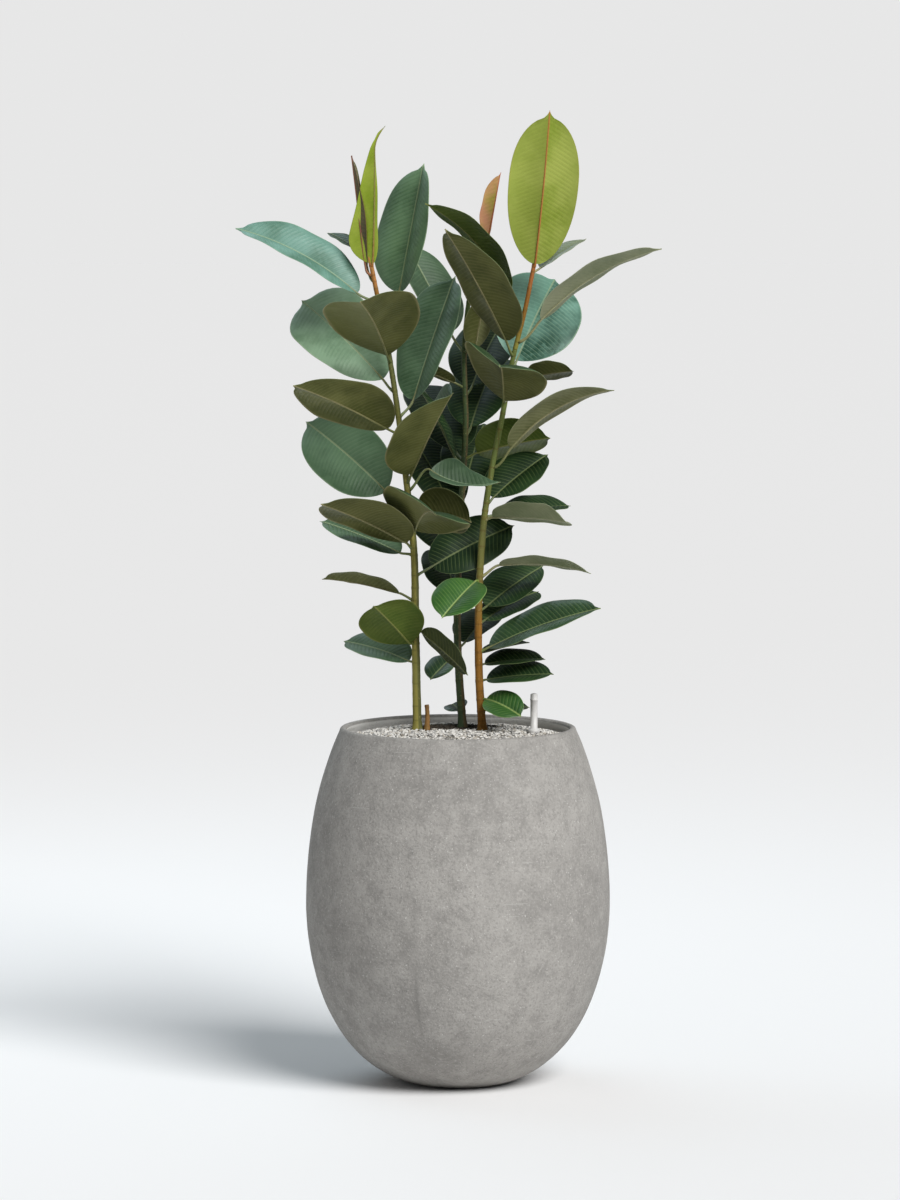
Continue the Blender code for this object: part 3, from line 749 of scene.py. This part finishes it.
def mesh_object(name, points, faces, materials, slots=None, values=None):
    """A smooth closed mesh object with a material slot for each face and named values for each point."""
    mesh = bpy.data.meshes.new(name)
    mesh.from_pydata([tuple(point) for point in points], [], faces)
    for finish in materials:
        mesh.materials.append(finish)
    if slots is not None:
        mesh.polygons.foreach_set("material_index", slots)
    for key, series in (values or {}).items():
        layer = mesh.attributes.new(key, "FLOAT", "POINT")
        layer.data.foreach_set("value", np.asarray(series, dtype=np.float32))
    mesh.shade_smooth()
    mesh.validate()
    shape = bmesh.new()
    shape.from_mesh(mesh)
    bmesh.ops.recalc_face_normals(shape, faces=shape.faces[:])
    shape.to_mesh(mesh)
    shape.free()
    return stand(name, mesh)


def ring_faces(rows, sides, first=0):
    """Quads between rings of points that follow one another, with one face at each end."""
    faces = []
    for row in range(rows - 1):
        low = first + row * sides
        for side in range(sides):
            after = (side + 1) % sides
            faces.append((low + side, low + after, low + sides + after, low + sides + side))
    top = first + (rows - 1) * sides
    faces.append(tuple(range(first + sides - 1, first - 1, -1)))
    faces.append(tuple(range(top, top + sides)))
    return faces


def dress(item, slot, *nodes):
    """Make a piece ride on the body and let it stand for some solids; the slot is not used."""
    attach(item, "root")
    if nodes:
        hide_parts(*nodes)


def pot_radius(height):
    """The planter's outer radius at a height: an egg of two arcs that meet at the belly."""
    if height >= BELLY_HEIGHT:
        return BELLY_RADIUS * sqrt(1 - ((height - BELLY_HEIGHT) / UPPER_REACH) ** 2)
    return BELLY_RADIUS * (1 - ((BELLY_HEIGHT - height) / LOWER_REACH) ** LOWER_CURVE) ** (1 / LOWER_POWER)


def pot_rows():
    """Radius, height and relief share of each ring, up the outer side, over the lip and down inside."""
    rows = [(pot_radius(0.0) - FOOT_INSET, 0.0, 0.0)]
    rim = POT_HEIGHT - WALL / 2
    for step in range(POT_ROWS):
        height = FIRST_ROW + (rim - FIRST_ROW) * (step / (POT_ROWS - 1)) ** ROW_POWER
        rows.append((pot_radius(height), height, 1.0))
    middle = pot_radius(rim) - WALL / 2
    for step in range(1, LIP_POINTS):
        angle = pi * step / LIP_POINTS
        rows.append((middle + WALL / 2 * cos(angle), rim + WALL / 2 * sin(angle), LIP_RELIEF))
    for step in range(INNER_ROWS):
        height = rim - INNER_DEPTH * step / (INNER_ROWS - 1)
        rows.append((pot_radius(height) - WALL, height, INNER_RELIEF))
    return rows


def build_planter(finish):
    """The planter with the relief of its casting, and its faint upright seams."""
    points = []
    values = {"seam": [], "inside": []}
    rows = pot_rows()
    for radius, height, share in rows:
        for side in range(POT_SIDES):
            turn = tau * side / POT_SIDES
            spot = Vector((cos(turn) * radius, sin(turn) * radius, height))
            relief = noise.fractal(spot * 9.0, 1.0, 2.0, 3) * CASTING_RELIEF
            pits = max(0.0, noise.noise(spot * 75.0) - PIT_FROM) * -PIT_DEPTH
            seam = 0.0
            for bearing in SEAM_BEARINGS:
                away = abs((degrees(turn) - bearing + 180) % 360 - 180) * pi / 180 * radius
                wander = noise.noise(Vector((height * 9.0, bearing, 0.0))) * SEAM_WANDER
                seam = max(seam, 1 - abs(away + wander) / SEAM_WIDTH)
            reach = radius + (relief + pits - SEAM_DEPTH * seam) * share
            points.append((cos(turn) * reach, sin(turn) * reach, height))
            values["seam"].append(max(0.0, seam) * share)
            # marks the inner wall rows, which the concrete paints paler as painted light
            values["inside"].append(1.0 if share == INNER_RELIEF else 0.0)
    faces = ring_faces(len(rows), POT_SIDES)
    return mesh_object("planter_shell", points, faces, [finish], values=values)


def gravel_height(x, y):
    """The height of the gravel's bed at a place."""
    wall = pot_radius(GRAVEL_EDGE) - WALL
    radii = (0.0, FOOT_REACH, TERRACE[0], TERRACE[1], wall)
    heights = (FOOT_LEVEL, FOOT_LEVEL, TERRACE_LEVEL, TERRACE_LEVEL, GRAVEL_EDGE)
    return float(np.interp(hypot(x, y), radii, heights))


def chip_shapes(draw):
    """A few convex chips, each as points and faces, about one unit across."""
    shapes = []
    for kind in range(CHIP_KINDS):
        shape = bmesh.new()
        for corner in range(CHIP_CORNERS):
            spot = Vector([draw.gauss(0, 1) for axis in range(3)]).normalized()
            spot = Vector((spot.x, spot.y * 0.85, spot.z * 0.66)) * draw.uniform(0.42, 0.54)
            shape.verts.new(spot)
        bmesh.ops.convex_hull(shape, input=shape.verts[:])
        loose = [vert for vert in shape.verts if not vert.link_faces]
        bmesh.ops.delete(shape, geom=loose, context="VERTS")
        shape.verts.index_update()
        corners = np.array([vert.co[:] for vert in shape.verts])
        shapes.append((corners, [tuple(vert.index for vert in face.verts) for face in shape.faces]))
        shape.free()
    return shapes


def in_soil_patch(x, y):
    """How deep a place lies in the bare soil behind the stems: above zero inside it."""
    middle_x, middle_y, reach_x, reach_y = SOIL_PATCH
    ragged = 0.35 * noise.noise(Vector((x * 45.0, y * 45.0, 0.0)))
    return 1 - hypot((x - middle_x) / reach_x, (y - middle_y) / reach_y) + ragged


def scatter_chips(name, finishes, keep, sizes, spacing, seed):
    """Chips laid side by side over the bed where keep allows, joined as one mesh."""
    draw = random.Random(seed)
    shapes = chip_shapes(draw)
    points = []
    faces = []
    slots = []
    wall = pot_radius(POT_HEIGHT - WALL / 2) - WALL - WALL_ROOM
    count = int(wall / spacing) + 1
    for row in range(-count, count + 1):
        for column in range(-count, count + 1):
            x = (column + 0.5 * (row % 2)) * spacing + draw.uniform(-CHIP_JITTER, CHIP_JITTER) * spacing
            y = row * spacing * CHIP_PITCH + draw.uniform(-CHIP_JITTER, CHIP_JITTER) * spacing
            size = draw.uniform(*sizes)
            turn = Matrix.Rotation(draw.uniform(0, tau), 3, "Z")
            turn = turn @ Matrix.Rotation(draw.gauss(0, 0.5), 3, "X")
            kind = draw.randrange(CHIP_KINDS)
            tone = draw.choice(range(len(finishes)))
            if hypot(x, y) > wall - size / 2 or not keep(x, y) or near_stem(x, y, size):
                continue
            corners, sides = shapes[kind]
            lift = gravel_height(x, y) + size * CHIP_LIFT
            first = len(points)
            points.extend(corners * size @ np.array(turn).T + np.array((x, y, lift)))
            faces.extend(tuple(first + corner for corner in side) for side in sides)
            slots.extend([tone] * len(sides))
    item = mesh_object(name, points, faces, finishes, slots)
    item.data.shade_flat()
    return item


def near_stem(x, y, size):
    """Whether a chip would cut into a stem, the stub or the gauge."""
    feet = [(stem.way[0][1], stem.way[0][2], stem.foot_radius * (1 + FLARE)) for stem in STEMS.values()]
    feet += [(*GAUGE_PLACE, GAUGE_FOOT_RADIUS), (*STUB_PLACE, STUB_RADIUS * 1.3)]
    return any(hypot(x - foot_x, y - foot_y) < radius + size * 0.45 for foot_x, foot_y, radius in feet)


def tube_points(centres, radii, sides, relief=None):
    """Rings of points round a line of centres."""
    points = []
    side_way = None
    for row, (centre, radius) in enumerate(zip(centres, radii)):
        before = centres[max(row - 1, 0)]
        after = centres[min(row + 1, len(centres) - 1)]
        along = unit(after - before)
        if side_way is None:
            spare = np.array((1.0, 0.0, 0.0) if abs(along[0]) < 0.8 else (0.0, 1.0, 0.0))
            side_way = unit(np.cross(spare, along))
        side_way = unit(side_way - along * side_way.dot(along))
        other_way = np.cross(along, side_way)
        for side in range(sides):
            turn = tau * side / sides
            reach = radius + (relief(row, turn) if relief else 0.0)
            points.append(centre + (side_way * cos(turn) + other_way * sin(turn)) * reach)
    return points


def scar_heights(name, low, high, grown):
    """Heights of the ring scars: at every leaf, and where lower leaves have dropped."""
    draw = random.Random("scars " + name)
    heights = [leaf.height for leaf in grown if low < leaf.height < high]
    height = low + 0.018
    while height < high:
        if all(abs(height - other) > SCAR_ROOM for other in heights):
            heights.append(height)
        height += SCAR_SPACING * draw.uniform(0.7, 1.3)
    return heights


def build_limb(name, stem, low, high, grown, finish, tip=False):
    """A stretch of stem with ring scars, corky knots and fine furrows, closed at both ends."""
    heights = list(np.arange(low, high, RING_STEP)) + [high]
    centres = [stem_centre(stem, height) for height in heights]
    radii = [stem_radius(stem, height) for height in heights]
    rings = scar_heights(name, low, high, grown)
    nearest = [min([abs(height - ring) for ring in rings] + [1.0]) for height in heights]
    scars = [max(0.0, 1 - gap / SCAR_HEIGHT) for gap in nearest]
    if tip:
        bud = unit(centres[-1] - centres[-2]) * BUD_LENGTH
        last = centres[-1]
        for step in range(1, BUD_RINGS + 1):
            share = step / BUD_RINGS
            centres.append(last + bud * share)
            radii.append(stem.tip_radius * (1 - 0.88 * share ** 1.6) * (1 + 0.25 * sin(pi * share)))
            scars.append(0.0)

    def relief(row, turn):
        """Furrows, knots and the swelling at a scar."""
        spot = Vector((cos(turn) * 2.2, sin(turn) * 2.2, centres[row][2] * 60.0))
        rough = noise.fractal(spot, 1.0, 2.0, 3) * FURROW_DEPTH
        return radii[row] * (rough + SCAR_SWELL * scars[row] ** 2 - SCAR_CUT * (scars[row] > 0.8))

    points = tube_points(centres, radii, STEM_SIDES, relief)
    faces = ring_faces(len(centres), STEM_SIDES)
    values = {
        "scar": np.repeat(scars, STEM_SIDES),
        "side": [(point[0] - centres[spot // STEM_SIDES][0]) / 0.005 for spot, point in enumerate(points)],
    }
    return mesh_object(name, points, faces, [finish], values=values)


def blade_line(leaf, base):
    """Centres along the blade from its base to its tip."""
    step = leaf.length / DIRECTION_STEPS
    centres = [base]
    for part in range(DIRECTION_STEPS):
        middle = (part + 0.5) / DIRECTION_STEPS
        centres.append(centres[-1] + heading(leaf.bearing, leaf.rise + leaf.arch * (0.5 - middle)) * step)
    return centres


def blade_frame(leaf, centres, t, twist=0.0):
    """The centre, the way to the right-hand side and the way up out of the blade at t."""
    along = heading(leaf.bearing, leaf.rise + leaf.arch * (0.5 - t))
    turn = radians(leaf.bearing)
    roll = radians(leaf.roll + twist * (t - 0.4))
    level_side = np.array((sin(turn), -cos(turn), 0.0))
    upright = np.cross(level_side, along)
    side = level_side * cos(roll) + upright * sin(roll)
    normal = upright * cos(roll) - level_side * sin(roll)
    place_on = t * DIRECTION_STEPS
    low = min(int(place_on), DIRECTION_STEPS - 1)
    centre = centres[low] + (centres[low + 1] - centres[low]) * (place_on - low)
    return centre, side, normal


def blade_stations():
    """Places along the blade, closer together at its round base and at its tip."""
    steps = np.linspace(0, 1, BLADE_ROWS)
    return list(0.5 - 0.5 * np.cos(np.pi * steps ** 0.95))


def blade_point(leaf, frame_at, half, share, t, wave):
    """A point of the blade's upper face, and how far it lies from the midrib."""
    centre, side, normal = frame_at
    fold = radians(leaf.fold)
    reach = abs(share)
    rounded = sqrt(reach * reach + 0.0016) - 0.04 * (1 - reach)
    across = half * share * cos(fold)
    lift = half * sin(fold) * rounded
    bulge = half * BULGE * 4 * reach * (1 - reach) * min(1.0, 4 * t)
    size, turns, start = wave
    ripple = size * reach ** 2.2 * sin(tau * turns * t + start + (1.3 if share > 0 else 0.0))
    return centre + side * across + normal * (lift + bulge + ripple), half * reach


def hook_bend(name, t):
    """How far a hooked tip bends aside at a share of the blade's length."""
    hook, start = HOOKED.get(name, (0.0, 0.99))
    return hook * max(0.0, (t - start) / (1 - start)) ** 2


def build_blade(name, leaf, base, draw):
    """Points, faces, slots and values of a leaf's blade: two faces that meet at a thin margin."""
    wave = (leaf.length * RIPPLE, draw.uniform(1.6, 3.0), draw.uniform(0, tau))
    twist = draw.uniform(-TWIST, TWIST)
    lean = draw.uniform(-LEAN, LEAN)
    shares = [-share for share in reversed(HALF_COLUMNS)] + [0.0] + list(HALF_COLUMNS)
    columns = len(shares)
    centres = blade_line(leaf, base)
    stations = blade_stations()
    upper = []
    lower = []
    values = {"rib": [], "vein": [], "edge": [], "half": []}
    for t in stations:
        frame_at = blade_frame(leaf, centres, t, twist)
        frame_at[0][0] += hook_bend(name, t)
        for share in shares:
            half = max(leaf.width / 2 * width_share(t, leaf), LEAST_HALF)
            half *= 1 + lean * (1 if share > 0 else -1)
            point, away = blade_point(leaf, frame_at, half, share, t, wave)
            thick = MARGIN_THICKNESS + (BLADE_THICKNESS - MARGIN_THICKNESS) * (1 - share * share)
            groove = GROOVE_DEPTH * exp(-(away / GROOVE_WIDTH) ** 2)
            upper.append(point - frame_at[2] * groove)
            lower.append(point - frame_at[2] * thick)
            values["rib"].append(away)
            values["vein"].append((t * leaf.length + away * VEIN_SLANT) / VEIN_SPACING)
            values["edge"].append(max(abs(share), (t - 0.9) * 9.6))
            values["half"].append(share)
    rows = len(stations)
    count = rows * columns
    faces = []
    slots = []
    for row in range(rows - 1):
        for column in range(columns - 1):
            low = row * columns + column
            quad = (low, low + 1, low + columns + 1, low + columns)
            faces.append(quad)
            faces.append(tuple(count + corner for corner in reversed(quad)))
            slots += [0, 1]
    rim = list(range(columns))
    rim += [row * columns + columns - 1 for row in range(1, rows)]
    rim += [(rows - 1) * columns + column for column in range(columns - 2, -1, -1)]
    rim += [row * columns for row in range(rows - 2, 0, -1)]
    for here, there in zip(rim, rim[1:] + rim[:1]):
        faces.append((there, here, count + here, count + there))
        slots.append(0)
    values = {key: series * 2 for key, series in values.items()}
    return upper + lower, faces, slots, values, centres


def build_leaf(name, stem, leaf, solid):
    """A leaf of two faces with its stalk, which runs on under the blade as the midrib."""
    draw = random.Random("leaf " + name)
    axis = stem_axis(stem, leaf.height)
    level = heading(leaf.bearing, 0)
    out = unit(level - axis * level.dot(axis))
    reach = stem_radius(stem, leaf.height)
    centre = stem_centre(stem, leaf.height)
    surface = centre + out * (reach + GAP)
    base = surface + heading(leaf.bearing, leaf.lift) * leaf.petiole
    start = centre + out * reach * PETIOLE_ROOT
    forward = heading(leaf.bearing, leaf.rise + leaf.arch / 2)
    points, faces, slots, values, centres = build_blade(name, leaf, base, draw)
    way = []
    radii = []
    span = np.linalg.norm(base - surface)
    leaving = unit(out + axis * PETIOLE_SLANT) * span
    stout = min(1.0, 0.45 + leaf.length / 0.26)
    for step in range(PETIOLE_RINGS):
        t = step / PETIOLE_RINGS
        way.append(between(t, start, leaving, base, forward * span))
        radii.append(PETIOLE_RADIUS * stout * (1 + 0.45 * (1 - t) ** 4))
    for t in np.linspace(0.0, RIB_END, RIB_RINGS):
        middle, _, normal = blade_frame(leaf, centres, t)
        middle[0] += hook_bend(name, t)
        radius = (RIB_RADII[0] + (RIB_RADII[1] - RIB_RADII[0]) * t ** 0.8) * stout
        radii.append(radius)
        way.append(middle - normal * radius * (0.2 + 0.8 * min(1.0, t * 8)))
    first = len(points)
    points += tube_points(way, radii, RIB_SIDES)
    stalk = ring_faces(len(way), RIB_SIDES, first)
    faces += stalk
    slots += [2] * len(stalk)
    along = np.repeat(np.linspace(0, 1, len(way)), RIB_SIDES)
    values = {key: series + [0.0] * len(along) for key, series in values.items()}
    values["along"] = [0.0] * first + list(along)
    tint = TINTS[draw.randrange(len(TINTS))] if leaf.look in ("grown", "dark", "soft") else TINTS[1]
    item = mesh_object(name, points, faces, materials_of(leaf.look, tint), slots, values)
    dress(item, "young_leaf" if name.startswith("young") else "leaf", solid)


def build_gauge(finish):
    """The watering gauge: a slim tube with a domed cap, a collar and a small foot."""
    foot = GAUGE_FOOT_RADIUS
    tube = GAUGE_RADIUS
    collar = GAUGE_RADIUS + GAUGE_COLLAR
    profile = [
        (foot - 0.0008, 0.0),
        (foot, 0.0008),
        (foot, GAUGE_FOOT_HEIGHT - 0.002),
        (foot - 0.0012, GAUGE_FOOT_HEIGHT),
        (tube, GAUGE_FOOT_HEIGHT + 0.001),
        (tube, GAUGE_HEIGHT - 0.0125),
        (collar, GAUGE_HEIGHT - 0.0120),
        (collar, GAUGE_HEIGHT - 0.0100),
        (tube, GAUGE_HEIGHT - 0.0095),
    ]
    for step in range(7):
        angle = radians(15) * step
        height = GAUGE_HEIGHT - GAUGE_DOME + GAUGE_DOME * sin(angle)
        profile.append((tube * cos(angle) + 0.0001, height))
    points = []
    for radius, height in profile:
        for side in range(GAUGE_SIDES):
            turn = tau * side / GAUGE_SIDES
            points.append((cos(turn) * radius, sin(turn) * radius, height))
    item = mesh_object("gauge_stick", points, ring_faces(len(profile), GAUGE_SIDES), [finish])
    item.location = (*GAUGE_PLACE, TERRACE_LEVEL + GAP)
    return item


def build_stub(finish):
    """The cut stub beside the left stem, with a ragged side."""
    foot = np.array((*STUB_PLACE, FOOT_LEVEL + GAP))
    shares = np.linspace(0, 1, STUB_RINGS)
    centres = [foot + np.array((0.0015 * sin(3 * share), 0.0, STUB_HEIGHT * share)) for share in shares]
    radii = [STUB_RADIUS * (0.8 + 0.5 * (1 - share) ** 3) for share in shares]

    def relief(row, turn):
        """Coarse furrows."""
        spot = Vector((cos(turn) * 2, sin(turn) * 2, row * 0.6))
        return radii[row] * 0.22 * noise.fractal(spot, 1.0, 2.0, 3)

    points = tube_points(centres, radii, STUB_SIDES, relief)
    faces = ring_faces(STUB_RINGS, STUB_SIDES)
    return mesh_object("cut_stub", points, faces, [finish], values={"scar": [0.0] * len(points)})


def paint(node_name, finish):
    """Give a solid that stays in view its material."""
    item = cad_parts[node_name]
    item.data.materials.clear()
    item.data.materials.append(finish)


def build_plant():
    """Stems, shoots and leaves; each bark has its tones from foot to top and the heights between them."""
    olive = (0.245, 0.218, 0.046)
    deep_green = (0.040, 0.066, 0.026)
    orange = (0.245, 0.108, 0.012)
    # painted shade for the right side of the left stem
    shade = (0.050, 0.062, 0.020)
    brown = (0.110, 0.070, 0.026)
    leaf_green = (0.055, 0.090, 0.030)
    moss = (0.150, 0.150, 0.036)
    tan = (0.260, 0.150, 0.035)
    amber = (0.500, 0.210, 0.060)
    lime = (0.120, 0.170, 0.040)
    gold = (0.380, 0.260, 0.060)
    red = (0.360, 0.120, 0.030)
    tones = {
        "bark_left": (olive, olive, (0.110, 0.120, 0.034), 0.60, 1.28, shade),
        "bark_middle": (deep_green, deep_green, leaf_green, 0.60, 1.25, brown),
        "bark_right": (orange, moss, (0.120, 0.155, 0.036), 0.74, 1.04),
        "shoot_bark_left": (tan, orange, amber, 1.28, 1.36),
        "shoot_bark_middle": (deep_green, lime, gold, 1.25, 1.42),
        "shoot_bark_right": ((0.230, 0.230, 0.040), orange, red, 1.22, 1.36),
    }
    barks = {name: bark_material(name, *parts) for name, parts in tones.items()}
    for side, stem in STEMS.items():
        foot = stem.way[0][0]
        top = stem.way[-1][0]
        grown = SHOOT_LEAVES[side] + LEAVES[side]
        name = "bark_" + side
        item = build_limb(name, stem, foot + GAP, stem.shoot_from, grown, barks[name])
        dress(item, "bark", "stem_" + side)
        bark = barks["shoot_bark_" + side]
        item = build_limb("green_shoot_" + side, stem, stem.shoot_from, top, grown, bark, tip=True)
        dress(item, "young_leaf", "shoot_" + side)
        for number, leaf in enumerate(SHOOT_LEAVES[side], 1):
            build_leaf(f"young_blade_{side}_{number}", stem, leaf, "shoot_" + side)
        for number, leaf in enumerate(LEAVES[side], 1):
            build_leaf(f"blade_{side}_{number:02d}", stem, leaf, f"leaf_{side}_{number:02d}")


def build_pot():
    """The planter, its gravel and soil, the gauge and the stub."""
    concrete = concrete_material("fibre_concrete", (0.284, 0.272, 0.254))
    dress(build_planter(concrete), "concrete", "planter")
    soil = (0.011, 0.008, 0.004)
    soil_light = (0.028, 0.020, 0.009)
    earth = stone_material("potting_soil", soil, soil_light)
    paint("soil", earth)
    bed = (0.120, 0.112, 0.100)
    paint("gravel", stone_material("gravel_bed", bed, (0.240, 0.228, 0.208), (soil, soil_light)))
    pale = stone_material("chip_pale", (0.590, 0.565, 0.520), (0.740, 0.720, 0.685))
    warm = stone_material("chip_warm", (0.380, 0.340, 0.285), (0.540, 0.505, 0.450))
    grey = stone_material("chip_grey", (0.230, 0.225, 0.215), (0.380, 0.372, 0.358))
    kinds = [pale] * 4 + [warm, grey]
    chips = scatter_chips(
        "gravel_chips", kinds, lambda x, y: in_soil_patch(x, y) < 0.1, CHIP_SIZE, CHIP_SPACING, CHIP_SEED
    )
    dress(chips, "stones")
    crumb = stone_material("soil_crumb", (0.022, 0.015, 0.007), (0.044, 0.030, 0.014))
    crumbs = scatter_chips(
        "soil_crumbs", [earth, crumb], lambda x, y: in_soil_patch(x, y) > 0,
        CRUMB_SIZE, CRUMB_SPACING, CRUMB_SEED,
    )
    dress(crumbs, "earth")
    plastic = plastic_material("gauge_white", (0.620, 0.610, 0.590))
    dress(build_gauge(plastic), "gauge_plastic", "water_gauge")
    orange = (0.240, 0.125, 0.035)
    stub = bark_material("stub_bark", orange, orange, (0.150, 0.080, 0.030), 0.60, 0.64)
    dress(build_stub(stub), "bark", "basal_stub")


def build_world():
    """An even pale background that lights the plant only faintly."""
    world = bpy.data.worlds.new("studio")
    world.use_nodes = True
    tree = world.node_tree
    shown = node(tree, "ShaderNodeLightPath").outputs["Is Camera Ray"]
    levels = {"Value": shown, "To Min": WORLD_LIGHT, "To Max": WORLD_SHOWN}
    strength = node(tree, "ShaderNodeMapRange", levels).outputs["Result"]
    feed(tree, tree.nodes["Background"], {"Color": (1.0, 1.0, 1.0, 1.0), "Strength": strength})
    bpy.context.scene.world = world


def build_floor():
    """A pale floor just under the planter."""
    white, tree = new_material("floor_white", FLOOR_TONE)
    feed(tree, tree.nodes["Principled BSDF"], {"Base Color": rgba(FLOOR_TONE), "Roughness": 0.9})
    shape = bpy.data.meshes.new("floor")
    far = FLOOR_REACH
    shape.from_pydata([(-far, -far, 0), (far, -far, 0), (far, far, 0), (-far, far, 0)], [], [(0, 1, 2, 3)])
    shape.materials.append(white)
    floor = stand("floor", shape, (0.0, 0.0, -FLOOR_DROP))


def build_lights():
    """A sun with soft edges, and a square soft light over the plant."""
    sun = bpy.data.lights.new("key", "SUN")
    sun.energy = SUN_STRENGTH
    sun.angle = radians(SUN_SPREAD)
    stand("key", sun, way=-heading(*SUN_FROM))
    over = bpy.data.lights.new("over", "AREA")
    over.shape = "SQUARE"
    over.size = OVER_SIZE
    over.energy = OVER_POWER
    over.color = OVER_COLOUR
    stand("over", over, OVER_PLACE, Vector(OVER_TARGET) - Vector(OVER_PLACE))


def build_camera():
    """The camera that looks as in the photo."""
    data = bpy.data.cameras.new("camera")
    data.lens = CAMERA_LENS
    data.sensor_width = SENSOR_WIDTH
    way = Vector(CAMERA_TARGET) - Vector(CAMERA_PLACE)
    bpy.context.scene.camera = stand("camera", data, CAMERA_PLACE, way)
    bpy.context.scene.view_settings.view_transform = "Standard"


build_floor()
build_world()
build_lights()
build_camera()
build_pot()
build_plant()
